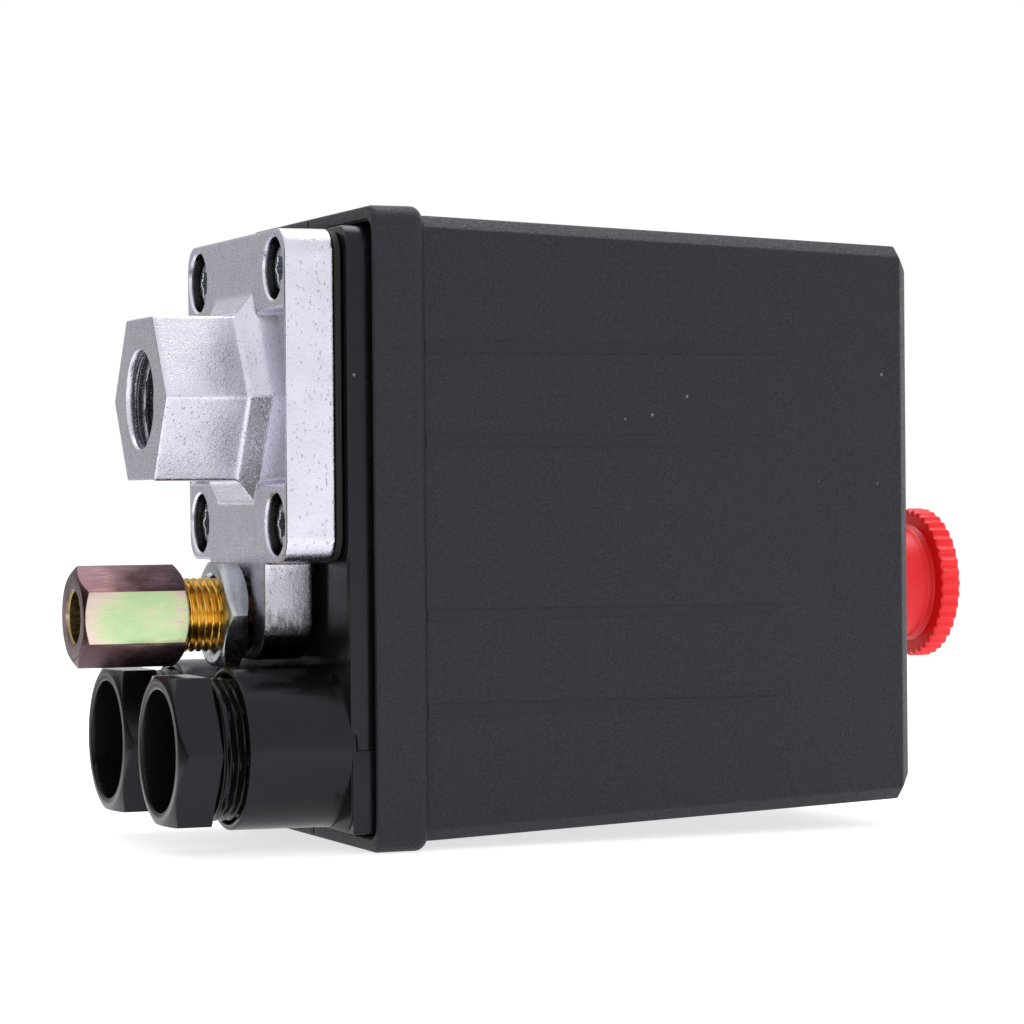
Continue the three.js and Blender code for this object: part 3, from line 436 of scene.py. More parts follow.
def bump(tree, height, strength, distance):
    inputs = {"Height": height, "Strength": strength, "Distance": distance}
    return node(tree, "ShaderNodeBump", inputs).outputs["Normal"]


def surface(tree, **inputs):
    named = {key.replace("_", " "): value for key, value in inputs.items()}
    shader = node(tree, "ShaderNodeBsdfPrincipled", named)
    output = node(tree, "ShaderNodeOutputMaterial")
    tree.links.new(shader.outputs["BSDF"], output.inputs["Surface"])


def grey(value, tint=(1.0, 1.0, 1.0)):
    return (value * tint[0], value * tint[1], value * tint[2], 1.0)


# ---------------------------------------------------------------- materials
COOL_SHINE = (0.97, 0.93, 1.12, 1.0)


def near_axis(tree, where, y, z, radius, edge=0.0003):
    """1 within radius of the four lines through (+-y, +-z) along X, 0 outside. In metres."""
    folded = vector_math(tree, "ABSOLUTE", where)[0]
    moved = vector_math(tree, "SUBTRACT", folded, (0, y, z))[0]
    flat = stretched(tree, moved, (0.0, 1.0, 1.0))
    distance = vector_math(tree, "LENGTH", flat)["Value"]
    return remap(tree, distance, radius, radius - edge)


def textured_plastic(name, grain=1.0):
    material, tree = blank_material(name)
    where = object_point(tree)
    black = (1.0, 0.93, 1.25)
    cloud = noise(tree, where, 60, 2)
    fine = noise(tree, where, 5200, 2, 0.6)
    coarse = noise(tree, where, 1900, 2, 0.5)
    pits = specks(tree, where, 900, 0.16)
    colour = mix(tree, cloud, grey(0.006, black), grey(0.009, black))
    speckle = times(tree, remap(tree, fine, 0.42, 0.62), 0.35 * grain)
    colour = mix(tree, speckle, colour, grey(0.02, (1.0, 0.95, 1.15)))
    colour = mix(tree, times(tree, pits, 0.5 * grain), colour, grey(0.002))
    dust = specks(tree, where, 130, 0.035)
    colour = mix(tree, times(tree, dust, 0.5), colour, grey(0.25))
    height = plus(tree, fine, coarse)
    height = math_node(tree, "SUBTRACT", height, times(tree, pits, 0.8))
    normal = bump(tree, height, 0.9 * grain, 0.00009)
    rough = remap(tree, coarse, 0.3, 0.7, 0.42, 0.56)
    shine = remap(tree, fine, 0.36, 0.64, 0.37 - 0.07 * grain, 0.37 + 0.06 * grain)
    surface(
        tree,
        Base_Color=colour,
        Roughness=rough,
        Normal=normal,
        Specular_IOR_Level=shine,
        Specular_Tint=COOL_SHINE,
    )
    return material


def gloss_plastic(name, colour_low, colour_high, rough=0.28, dust_amount=0.5, shine=0.3, painted_glow=None):
    material, tree = blank_material(name)
    where = object_point(tree)
    cloud = noise(tree, where, 90, 3)
    fine = noise(tree, where, 2600, 2)
    colour = mix(tree, cloud, colour_low, colour_high)
    dust = specks(tree, where, 160, 0.045)
    colour = mix(tree, times(tree, dust, dust_amount), colour, grey(0.3))
    wave = plus(tree, times(tree, cloud, 3.0), fine)
    normal = bump(tree, wave, 0.18, 0.00003)
    roughness = remap(tree, fine, 0.3, 0.7, rough - 0.05, rough + 0.08)
    # painted light: an optional emission makes the part glow though it is no lamp
    emission = {"Emission_Color": painted_glow, "Emission_Strength": 1.0} if painted_glow else {}
    surface(
        tree,
        Base_Color=colour,
        Roughness=roughness,
        Normal=normal,
        Specular_IOR_Level=shine,
        Specular_Tint=COOL_SHINE,
        **emission,
    )
    return material


def cast_metal(name):
    """Die-cast aluminium: fine grain, dark flecks, painted shade in the bores, pockets and port, and
    painted shade that darkens the boss towards its bottom.
    """
    material, tree = blank_material(name)
    where = object_point(tree)
    parts = node(tree, "ShaderNodeSeparateXYZ", {0: where}).outputs
    bright = (0.99, 0.96, 1.10)
    blotch = noise(tree, where, 260, 4, 0.6)
    grain = noise(tree, where, 4200, 3, 0.65)
    flow = noise(tree, stretched(tree, where, (1.0, 1.0, 0.35)), 900, 3)
    fleck = noise(tree, stretched(tree, where, (1.0, 1.0, 0.55)), 3000, 2, 0.4)
    flecks = remap(tree, fleck, 0.64, 0.72)
    colour = mix(tree, blotch, grey(0.60, bright), grey(0.78, bright))
    colour = mix(tree, times(tree, flecks, 0.4), colour, grey(0.16, (1.1, 1.0, 1.0)))

    # Painted shade: below these levels the casting darkens, partly on the boss's lower part and deepest
    # under its foot.
    level = plus(tree, parts["Z"], remap(tree, flow, 0.3, 0.7, -0.0015, 0.0015))
    boss_shade = remap(tree, level, -0.0215, -0.0245, 0.0, 0.6)
    boss_foot_shade = remap(tree, level, -0.0275, -0.0310, 0.0, 0.9)
    colour = mix(tree, boss_shade, colour, grey(0.3, (1.0, 1.0, 1.1)))
    colour = mix(tree, boss_foot_shade, colour, grey(0.03))

    def past(start, end, most=1.0):
        return remap(tree, parts["X"], start * MM, end * MM, 0.0, most)

    across = math_node(tree, "ABSOLUTE", parts["Y"])
    up = math_node(tree, "ABSOLUTE", parts["Z"])
    # Painted shade: the dished pockets beside the port hexagon are darkened.
    in_pocket = times(
        tree,
        remap(tree, across, (FLANGE_HALF - 0.5) * MM, (FLANGE_HALF - 1.0) * MM),
        remap(tree, up, 0.0115, 0.0105),
    )
    pocket = times(tree, in_pocket, past(FLANGE_FACE + 0.1, FLANGE_FACE + 0.9, 0.75))
    colour = mix(tree, pocket, colour, grey(0.2, (1.0, 0.97, 1.1)))
    # Painted shade: the metal inside the screw counterbores is darkened.
    screw_y, screw_z = screw_places()[-1]
    in_bore = near_axis(tree, where, abs(screw_y) * MM, abs(screw_z) * MM, (COUNTERBORE_R + 0.35) * MM)
    bore = times(tree, in_bore, past(FLANGE_FACE + 0.35, FLANGE_FACE + 0.6))
    colour = mix(tree, bore, colour, grey(0.05))
    # Painted shade: the inside of the port bore is darkened past its mouth.
    in_port = near_axis(tree, where, 0.0, 0.0, (PORT_BORE_R + 1.0) * MM)
    colour = mix(tree, times(tree, in_port, past(0.4, 3.0)), colour, grey(0.3, (1.0, 0.97, 1.05)))

    height = plus(tree, times(tree, flow, 1.4), grain)
    height = math_node(tree, "SUBTRACT", height, flecks)
    normal = bump(tree, height, 0.6, 0.00004)
    rough = remap(tree, grain, 0.3, 0.7, 0.16, 0.34)
    surface(tree, Base_Color=colour, Metallic=1.0, Roughness=rough, Normal=normal)
    return material


def plated_metal(name, dark, light, rough=0.25, streak=(1.0, 1.0, 1.0)):
    material, tree = blank_material(name)
    where = object_point(tree)
    lines = noise(tree, stretched(tree, where, streak), 900, 4, 0.6)
    cloud = noise(tree, where, 240, 3)
    colour = mix(tree, remap(tree, cloud, 0.3, 0.7), dark, light)
    normal = bump(tree, lines, 0.2, 0.00003)
    roughness = remap(tree, lines, 0.3, 0.7, rough - 0.06, rough + 0.1)
    surface(tree, Base_Color=colour, Metallic=1.0, Roughness=roughness, Normal=normal)
    return material


def passivated_metal(name):
    """Yellow passivated zinc: its coating drifts between olive green, straw, pink and violet brown, and
    faces turned up, down and to the front are painted darker, as painted shade.
    """
    material, tree = blank_material(name)
    where = object_point(tree)
    drift = noise(tree, where, 150, 3, 0.5)
    streaks = noise(tree, stretched(tree, where, (0.25, 1.0, 1.0)), 1500, 3, 0.6)
    # Painted shade: the more steeply a face points up and down, and the more it faces the front (-X),
    # the further it moves along the ramp towards dark violet brown. The noise drift and streaks are the
    # coating's own colour.
    facing = node(tree, "ShaderNodeNewGeometry").outputs["Normal"]
    parts = node(tree, "ShaderNodeSeparateXYZ", {0: facing}).outputs
    steep = math_node(tree, "ABSOLUTE", parts["Z"])
    front = math_node(tree, "MAXIMUM", times(tree, parts["X"], -0.75), 0.0)
    place = plus(tree, steep, front)
    place = plus(tree, place, remap(tree, drift, 0.3, 0.7, -0.20, 0.20))
    place = plus(tree, place, remap(tree, streaks, 0.3, 0.7, -0.09, 0.09))
    ramp = node(tree, "ShaderNodeValToRGB", {0: place})
    stops = ramp.color_ramp.elements
    stops[0].position = 0.0
    stops[0].color = (0.46, 0.62, 0.34, 1.0)
    stops[1].position = 1.0
    stops[1].color = (0.10, 0.05, 0.06, 1.0)
    for position, colour in (
        (0.14, (0.58, 0.64, 0.38, 1.0)),
        (0.24, (0.72, 0.56, 0.52, 1.0)),
        (0.36, (0.62, 0.55, 0.40, 1.0)),
        (0.55, (0.36, 0.22, 0.24, 1.0)),
        (0.8, (0.17, 0.09, 0.09, 1.0)),
    ):
        stop = stops.new(position)
        stop.color = colour
    in_bore = near_axis(tree, where, 0.0, abs(UNLOADER_Z) * MM, (TUBE_BORE_R + 0.3) * MM)
    film_and_facing_shade = ramp.outputs["Color"]
    colour = mix(tree, times(tree, in_bore, 0.8), film_and_facing_shade, (0.42, 0.36, 0.12, 1.0))
    height = plus(tree, streaks, noise(tree, where, 2600, 2))
    normal = bump(tree, height, 0.22, 0.00003)
    rough = remap(tree, streaks, 0.3, 0.7, 0.2, 0.34)
    surface(tree, Base_Color=colour, Metallic=1.0, Roughness=rough, Normal=normal)
    return material


def matt_rubber(name, low, high):
    material, tree = blank_material(name)
    where = object_point(tree)
    cloud = noise(tree, where, 500, 4)
    colour = mix(tree, cloud, low, high)
    normal = bump(tree, noise(tree, where, 3000, 2), 0.4, 0.00004)
    surface(tree, Base_Color=colour, Roughness=0.75, Normal=normal)
    return material


LOOKS = {
    "cover_plastic": textured_plastic("cover_plastic_look"),
    "housing_plastic": gloss_plastic(
        "housing_plastic_look", grey(0.003), grey(0.005, (1, 1, 1.1)), rough=0.2
    ),
    "knob_plastic": gloss_plastic(
        "knob_plastic_look",
        (0.80, 0.008, 0.008, 1),
        (0.90, 0.014, 0.012, 1),
        rough=0.34,
        dust_amount=0.08,
        shine=0.4,
        # painted light: a faint red glow brightens the knob
        painted_glow=(0.04, 0.0004, 0.0004, 1),
    ),
    "cast_aluminium": cast_metal("cast_aluminium_look"),
    "zinc": plated_metal(
        "zinc_look", grey(0.34, (0.95, 1.0, 1.08)), grey(0.6, (0.96, 1.0, 1.06)), rough=0.22
    ),
    "yellow_zinc": passivated_metal("yellow_zinc_look"),
    "brass": plated_metal(
        "brass_look", (0.62, 0.36, 0.07, 1), (0.86, 0.58, 0.16, 1), rough=0.2, streak=(1.0, 0.3, 0.3)
    ),
    "spring_steel": plated_metal("spring_steel_look", grey(0.25), grey(0.4), 0.3),
    "frame_steel": plated_metal("frame_steel_look", grey(0.45), grey(0.6), 0.32),
    "rubber": matt_rubber("rubber_look", grey(0.004), grey(0.012, (1.4, 1.0, 0.7))),
    "copper": plated_metal("copper_look", (0.5, 0.2, 0.1, 1), (0.75, 0.36, 0.2, 1), 0.3),
    "contact_plastic": gloss_plastic(
        "contact_plastic_look", (0.06, 0.02, 0.01, 1), (0.1, 0.035, 0.02, 1), rough=0.45
    ),
}
SMOOTH_COVER = textured_plastic("cover_land_look", 0.25)


# ---------------------------------------------------------------- cover
def corner_points(radius, chamfered, per_corner=8):
    """A corner's path from its side to its top, as offsets from the sharp corner."""
    if not chamfered:
        angles = np.linspace(0, math.pi / 2, per_corner)
        return [(radius * (math.cos(a) - 1), radius * (math.sin(a) - 1)) for a in angles]
    ease = min(0.25, radius * 0.3)
    sharp = [(0, -3 * radius), (0, -radius), (-radius, 0), (-3 * radius, 0)]
    path = soften(sharp, ease, per_corner // 2 - 1)
    return [tuple(p) for p in path[1:-1]]


def rectangle_loop(x, half_width, z_low, z_high, corner, chamfered=False):
    points = []
    for side, level in ((1, 1), (-1, 1), (-1, -1), (1, -1)):
        path = corner_points(corner, chamfered)
        if side * level < 0:
            path = path[::-1]
        for dy, dz in path:
            z = z_high + dz if level > 0 else z_low - dz
            points.append((x, side * (half_width + dy), z))
    return np.array(points)


def cover_section(x, inset, corner, chamfered=False):
    """The cover's outline at x, moved in by inset, with the moulding draft behind the collar."""
    start = COVER_MOUTH + COLLAR_LENGTH
    along = max(0.0, (x - start) / (COVER_END - start))
    half = cover_high.y - inset - DRAFT_SIDE * along
    low = cover_low.z + inset + DRAFT_TOP * along
    high = cover_high.z - inset - DRAFT_TOP * along
    return rectangle_loop(x, half, low, high, corner, chamfered)


def cover_mesh():
    bm = bmesh.new()
    start = COVER_MOUTH + COLLAR_LENGTH
    loops = []
    outer = [(COVER_MOUTH, 0.45), (COVER_MOUTH + 0.12, 0.15), (COVER_MOUTH + 0.45, 0.0)]
    for x, inset in outer:
        loops.append(cover_section(x, inset, COLLAR_CORNER))
    steps = 8  # round the collar's rear edge
    drop = COLLAR_STEP
    last = math.acos(1 - drop / COLLAR_ROUND)
    for i in range(steps + 1):
        angle = last * i / steps
        x = start - COLLAR_ROUND + COLLAR_ROUND * math.sin(angle)
        inset = COLLAR_ROUND * (1 - math.cos(angle))
        loops.append(cover_section(x, inset, COLLAR_CORNER))
    root = loops[-1][0][0]
    loops.append(cover_section(root + 0.12, drop + 0.06, COVER_CHAMFER, True))
    loops.append(cover_section(root + 0.5, drop + 0.02, COVER_CHAMFER, True))
    edge = 0.25  # easing of the end's bevel
    bevel = COVER_CHAMFER
    for x, inset in (
        (start + 1.0, 0.0),
        (COVER_END - bevel - edge, 0.0),
        (COVER_END - bevel - edge * 0.3, edge * 0.12),
        (COVER_END - bevel + edge * 0.6, edge * 0.6 + edge * 0.12),
        (COVER_END - edge * 0.75, bevel - edge * 0.7),
        (COVER_END - edge * 0.2, bevel - edge * 0.05),
        (COVER_END, bevel + edge * 0.6),
    ):
        loops.append(cover_section(x, drop + inset, COVER_CHAMFER, True))
    outer_rows = loft(bm, loops, cap_last=True)
    inner = [
        (COVER_MOUTH, COLLAR_SIDE_WALL - 0.35),
        (COVER_MOUTH + 0.3, COLLAR_SIDE_WALL),
        (BASE_BACK + 1.5, COLLAR_SIDE_WALL),
        (BASE_BACK + 1.5, COLLAR_STEP + COVER_WALL),
        (COVER_END - COVER_WALL, COLLAR_STEP + COVER_WALL),
    ]
    inner_loops = []
    for x, inset in inner:
        extra = COVER_WALL - COLLAR_SIDE_WALL if inset <= COLLAR_SIDE_WALL else 0.0
        loop = cover_section(x, inset, COLLAR_CORNER)
        squeeze = 1 - extra / (COVER_MIDDLE_Z - cover_low.z)
        loop[:, 2] = COVER_MIDDLE_Z + (loop[:, 2] - COVER_MIDDLE_Z) * squeeze
        inner_loops.append(loop)
    inner_rows = loft(bm, inner_loops, cap_last=True)
    bridge(bm, outer_rows[0], inner_rows[0])
    return bm


def cover():
    thing = scratch(cover_mesh(), "cover_shell")
    knob_hole = rod_bm(KNOB_HOLE_R, COVER_END - 6, COVER_END + 2, 0, KNOB_Z, ROUND)
    combine(thing, scratch(knob_hole, "knob_hole"), "DIFFERENCE")
    screw_z = axis_of("cover_screw")[1]
    screw_hole = rod_bm(COVER_SCREW_HOLE_R, COVER_END - 6, COVER_END + 2, 0, screw_z)
    combine(thing, scratch(screw_hole, "screw_hole"), "DIFFERENCE")
    for level, height in ((1, cover_high.z), (-1, cover_low.z)):
        z0, z1 = sorted((height - level * COVER_WALL * 1.6, height - level * 0.35))
        half = SLIT_WIDTH / 2
        slit = box_bm((COVER_MOUTH - 1, -half, z0), (COVER_MOUTH + 2.5, half, z1))
        combine(thing, scratch(slit, "slit"), "DIFFERENCE")
    mesh = mesh_from(unload(thing), "cover_shell", 24)
    piece(mesh, LOOKS["cover_plastic"], "cover_plastic", "housing", "cover")


def cover_land(index, z, width_start, width_end):
    """A smooth raised strip on each long side, which narrows away from the collar."""
    start = COVER_MOUTH + COLLAR_LENGTH - 0.2
    for side in (-1, 1):
        bm = bmesh.new()
        loops = []
        for lift, shrink in ((-0.3, 0.0), (LAND_HEIGHT - 0.03, 0.0), (LAND_HEIGHT, 0.04)):
            loop = []
            corners = (
                (start, z - width_start / 2 + shrink),
                (LAND_END - shrink, z - width_end / 2 + shrink),
                (LAND_END - shrink, z + width_end / 2 - shrink),
                (start, z + width_start / 2 - shrink),
            )
            for x, height in corners:
                section = cover_section(x, COLLAR_STEP, COVER_CHAMFER, True)
                face = section[:, 1].max()
                loop.append((x, side * (face + lift), height))
            loops.append(np.array(loop))
        loft(bm, loops, cap_first=True, cap_last=True)
        mesh = mesh_from(bm, f"cover_land_{index}_{'near' if side < 0 else 'far'}")
        piece(mesh, SMOOTH_COVER, "cover_plastic", "housing")


# ---------------------------------------------------------------- port flange
def outline_prism(points, x0, x1):
    bm = bmesh.new()
    loops = [np.array([(x, y, z) for y, z in points]) for x in (x0, x1)]
    loft(bm, loops, cap_first=True, cap_last=True)
    return bm


def rounded_outline(half_width, z_low, z_high, radius):
    loop = rectangle_loop(0, half_width, z_low, z_high, radius)
    return [(y, z) for _, y, z in loop]


def dish_pockets(mesh):
    """Sinks the flange's face beside the hexagon's foot, deepening towards the outer rim."""
    count = len(mesh.vertices)
    places = np.empty(count * 3)
    mesh.vertices.foreach_get("co", places)
    places = places.reshape(count, 3) / MM
    x, y, z = places.T
    foot_flat = (PORT_HEX / math.sqrt(3) + PORT_FLARE) * math.cos(math.pi / 6)
    across, up = np.abs(y), np.abs(z)
    from_foot = np.maximum(up, across * math.cos(math.pi / 6) + up * 0.5) - foot_flat
    inside = (up < POCKET_HALF_HEIGHT) & (across < FLANGE_HALF - POCKET_RIM)
    on_face = np.abs(x - FLANGE_FACE) < 0.3
    depth = POCKET_DEPTH * np.clip(from_foot / POCKET_RUN, 0, 1) ** 0.7
    places[:, 0] = np.where(inside & on_face & (from_foot > 0), x + depth, x)
    mesh.vertices.foreach_set("co", (places * MM).ravel())
    mesh.update()


def flange():
    half = FLANGE_HALF
    square = rounded_outline(half, -half, half, 3.2)
    plate = scratch(outline_prism(square, FLANGE_FACE, FLANGE_BACK), "plate")
    corner = PORT_HEX / math.sqrt(3)
    foot = corner + PORT_FLARE
    bm = bmesh.new()
    stations = (
        (0.0, corner),
        (FLANGE_FACE - PORT_FLARE_LENGTH, corner),
        (FLANGE_FACE, foot),
        (FLANGE_FACE + 2.2, foot),
    )
    loft(bm, [ring(x, r, count=6) for x, r in stations], cap_first=True, cap_last=True)
    combine(plate, scratch(bm, "port"), "UNION")
    wide = BOSS_HALF_WIDTH
    boss_outline = rounded_outline(wide, flange_low.z, -half + 3, 6.0)
    combine(plate, scratch(outline_prism(boss_outline, FLANGE_FACE, FLANGE_BACK), "boss"), "UNION")
    neck = box_bm((FLANGE_FACE, -wide, -half - 6), (FLANGE_BACK, wide, -half + 4))
    combine(plate, scratch(neck, "neck"), "UNION")
    remesh = plate.modifiers.new("remesh", "REMESH")
    remesh.mode = "VOXEL"
    remesh.voxel_size = REMESH_SIZE * MM
    evaluate(plate)
    dish_pockets(plate.data)
    smooth = plate.modifiers.new("smooth", "SMOOTH")
    smooth.factor = 0.5
    smooth.iterations = 4
    thin = plate.modifiers.new("thin", "DECIMATE")
    thin.ratio = 0.35
    evaluate(plate)
    for y, z in screw_places():
        bore = bmesh.new()
        rim = COUNTERBORE_R + 0.3
        profile = [
            (FLANGE_FACE - 2, 0),
            (FLANGE_FACE - 2, rim + 0.05),
            (FLANGE_FACE - 0.05, rim),
            (FLANGE_FACE + 0.3, COUNTERBORE_R),
            (FLANGE_FACE + COUNTERBORE_DEPTH, COUNTERBORE_R),
            (FLANGE_FACE + COUNTERBORE_DEPTH, 0),
        ]
        lathe(bore, profile, y, z, SMALL_ROUND)
        combine(plate, scratch(bore, "bore"), "DIFFERENCE")
    boss_bore = rod_bm(BOSS_BORE_R, FLANGE_FACE - 2, FLANGE_BACK + 1, 0, UNLOADER_Z)
    combine(plate, scratch(boss_bore, "bore"), "DIFFERENCE")
    bm = bmesh.new()
    root = PORT_BORE_R + PORT_THREAD_DEPTH
    lathe(
        bm,
        [
            (-1, 0),
            (-1, PORT_BORE_R + 0.9),
            (0.3, PORT_BORE_R),
            (0.8, PORT_BORE_R),
            (1.2, root),
            (PORT_BORE_DEPTH, root),
            (PORT_BORE_DEPTH, 0),
        ],
    )
    combine(plate, scratch(bm, "port_bore"), "DIFFERENCE")
    mesh = mesh_from(unload(plate), "port_casting", 38)
    piece(mesh, LOOKS["cast_aluminium"], "cast_aluminium", "housing", "port_flange")


def port_thread():
    bm = bmesh.new()
    crest, end = PORT_BORE_R - 0.1, PORT_BORE_DEPTH - 0.6
    loops = thread_loops(crest, PORT_THREAD_DEPTH, PORT_THREAD_PITCH, 0.9, end, steps=10, inner=True)
    first = ring(0.85, PORT_BORE_R + 0.2)
    rows = loft(bm, [first, *loops, ring(PORT_BORE_DEPTH - 0.3, PORT_BORE_R + 0.8)])
    bridge(bm, rows[0], rows[-1])
    mesh = mesh_from(bm, "port_thread", 40)
    piece(mesh, LOOKS["cast_aluminium"], "cast_aluminium", "housing")


def star_radius(outer, count):
    angle = np.arange(count) * TAU / count
    return outer * (0.86 + 0.14 * np.cos(6 * angle))


def flange_screw(index):
    """A button-head screw with a six-lobed recess, its head towards -X."""
    node_name = f"flange_screw_{index}"
    low, high = box_mm(node_name)
    y, z = axis_of(node_name)
    head_r = (high.y - low.y) / 2
    x0, height, count = low.x, SCREW_HEAD_HEIGHT, SMALL_ROUND
    recess = star_radius(head_r * 0.56, count)
    depth = height * 0.75
    stations = [
        (x0 + depth, recess * 0.35),
        (x0 + depth, recess * 0.9),
        (x0 + 0.12, recess),
        (x0 + 0.02, recess + 0.12),
    ]
    dome_start = recess.max() + 0.2
    for share in (0.3, 0.55, 0.8, 0.95, 1.0):
        drop = height * 0.55 * (1 - math.sqrt(1 - min(share, 0.98) ** 2))
        stations.append((x0 + drop, dome_start + (head_r - dome_start) * share))
    stations += [(x0 + height, head_r), (x0 + height, SCREW_SHANK_R), (high.x, SCREW_SHANK_R)]
    bm = bmesh.new()
    loft(bm, [ring(x, r, y, z, count) for x, r in stations], cap_first=True, cap_last=True)
    mesh = mesh_from(bm, f"socket_screw_{index}", 35)
    piece(mesh, LOOKS["zinc"], "zinc", "housing", node_name)


def cover_screw():
    """A pan-head screw with a cross recess, its head towards +X."""
    low, high = box_mm("cover_screw")
    y, z = axis_of("cover_screw")
    head_r = (high.z - low.z) / 2
    top, head, shank_r = high.x, COVER_SCREW_HEAD, COVER_SCREW_SHANK_R
    under = top - head
    dome = []
    for turn in np.linspace(0, 1.35, 9)[1:]:
        dome.append((top - head * (1 - math.cos(turn)) * 0.85, head_r * math.sin(turn)))
    profile = [(top, 0), *dome, (under + 0.25, head_r), (under, head_r - 0.15)]
    profile += [(under, shank_r), (low.x + 1, shank_r), (low.x, 1.0), (low.x, 0)]
    bm = bmesh.new()
    lathe(bm, profile, y, z, SMALL_ROUND)
    thing = scratch(bm, "screw_blank")
    long_half, short_half = 2.0, 0.42
    for along_y in (True, False):
        loops = []
        for x, share in ((top - 1.3, 0.45), (top + 0.5, 1.12)):
            a, b = long_half * share, short_half * 0.9
            if not along_y:
                a, b = b, a
            corners = [(x, y - a, z - b), (x, y + a, z - b), (x, y + a, z + b), (x, y - a, z + b)]
            loops.append(np.array(corners))
        bm = bmesh.new()
        loft(bm, loops, cap_first=True, cap_last=True)
        combine(thing, scratch(bm, "cross"), "DIFFERENCE")
    mesh = mesh_from(unload(thing), "cross_screw", 35)
    piece(mesh, LOOKS["zinc"], "zinc", "housing", "cover_screw")


# ---------------------------------------------------------------- base, glands and unloader
def base():
    bm = bmesh.new()
    half = base_high.y - 0.3
    low, high = base_low.z, base_high.z
    edge = 0.35
    less = edge * 0.3
    loops = [
        rectangle_loop(BASE_FRONT, half - edge, low + edge, high - edge, 2.7),
        rectangle_loop(BASE_FRONT + less, half - less, low + less, high - less, 2.9),
        rectangle_loop(BASE_FRONT + edge, half, low, high, 3.0),
        rectangle_loop(BASE_BACK, half, low, high, 3.0),
    ]
    loft(bm, loops, cap_first=True, cap_last=True)
    glands = [axis_of("gland_nut_1"), axis_of("gland_nut_2")]
    gland_z = glands[0][1]
    wide = base_high.y
    ledge_x = BASE_FRONT + 0.2
    ledge = [
        rectangle_loop(ledge_x, wide - 0.1, low + 0.1, gland_z - 0.1, 0.3),
        rectangle_loop(ledge_x + 0.2, wide, low, gland_z, 0.35),
        rectangle_loop(BASE_BACK, wide, low, gland_z, 0.35),
    ]
    loft(bm, ledge, cap_first=True, cap_last=True)
    for y, _ in glands:
        profile = soften(
            [
                (BASE_FRONT + 1, STUB_R - 2.6),
                (BASE_FRONT + 1, STUB_R + 0.12),
                (BASE_FRONT - 0.1, STUB_R + 0.1),
                (BASE_FRONT - 1.0, STUB_R),
                (STUB_RIM, STUB_R - 0.1),
                (STUB_RIM, STUB_R - 1.1),
                (BASE_FRONT - 2, STUB_R - 1.1),
                (BASE_FRONT - 2, GLAND_THROAT_R + 0.8),
                (BASE_FRONT + 1, GLAND_THROAT_R + 0.8),
            ],
            0.35,
            3,
        )
        lathe(bm, profile, y, gland_z)
    mesh = mesh_from(bm, "base_plate", 35)
    piece(mesh, LOOKS["housing_plastic"], "housing_plastic", "housing", "base_housing")


def gland(index):
    low, high = box_mm(f"gland_nut_{index}")
    y, z = axis_of(f"gland_nut_{index}")
    bm = bmesh.new()
    mouth = low.x
    hex_end = mouth + GLAND_HEX_LENGTH
    bore = [
        ring(high.x, GLAND_THROAT_R, y, z),
        ring(high.x - 4, GLAND_THROAT_R, y, z),
        ring(high.x - 4.1, GLAND_BORE_R, y, z),
        ring(mouth + 0.6, GLAND_BORE_R, y, z),
        ring(mouth + 0.12, GLAND_BORE_R + 0.1, y, z),
        ring(mouth, GLAND_BORE_R + 0.35, y, z),
    ]
    outside = hexagon_loops(GLAND_HEX, mouth, hex_end, False, y, z)
    neck_r = GLAND_THREAD_R - 0.75
    neck = [ring(hex_end + 0.05, neck_r, y, z), ring(hex_end + 0.5, neck_r, y, z)]
    start, end = hex_end + 0.6, hex_end + 6.6
    thread = thread_loops(GLAND_THREAD_R, 0.65, GLAND_THREAD_PITCH, start, end, y, z)
    rows = loft(bm, [*bore, *outside, *neck, *thread, ring(high.x, GLAND_THREAD_R - 0.6, y, z)])
    bridge(bm, rows[0], rows[-1])
    mesh = mesh_from(bm, f"gland_screw_{index}", 35)
    piece(mesh, LOOKS["housing_plastic"], "housing_plastic", "housing", f"gland_nut_{index}")


def unloader_body():
    bm = bmesh.new()
    z = UNLOADER_Z
    bore_r = TUBE_BORE_R - 0.4
    start, end = body_low.x + 0.6, body_high.x - 5
    thread = thread_loops(UNLOADER_R, 0.58, UNLOADER_PITCH, start, end, 0, z, steps=10)
    loops = [
        ring(body_low.x, bore_r, 0, z),
        ring(body_low.x, UNLOADER_R - 0.6, 0, z),
        *thread,
        ring(body_high.x, UNLOADER_R - 0.3, 0, z),
        ring(body_high.x, bore_r, 0, z),
    ]
    rows = loft(bm, loops)
    bridge(bm, rows[0], rows[-1])
    mesh = mesh_from(bm, "threaded_body", 40)
    piece(mesh, LOOKS["brass"], "brass", "housing", "unloader_body")


def lock_nut():
    bm = bmesh.new()
    z = UNLOADER_Z
    x0, x1 = lock_low.x, lock_high.x
    bore = UNLOADER_R + 0.25
    outside = hexagon_loops(LOCK_NUT_HEX, x0, x1, True, 0, z)
    front = [ring(x0 + 0.4, bore, 0, z), ring(x0, bore + 0.4, 0, z)]
    back = [ring(x1, bore + 0.4, 0, z), ring(x1 - 0.4, bore, 0, z)]
    rows = loft(bm, [*front, *outside, *back])
    bridge(bm, rows[0], rows[-1])
    mesh = mesh_from(bm, "lock_nut_turned", 30)
    piece(mesh, LOOKS["zinc"], "zinc", "housing", "lock_nut")


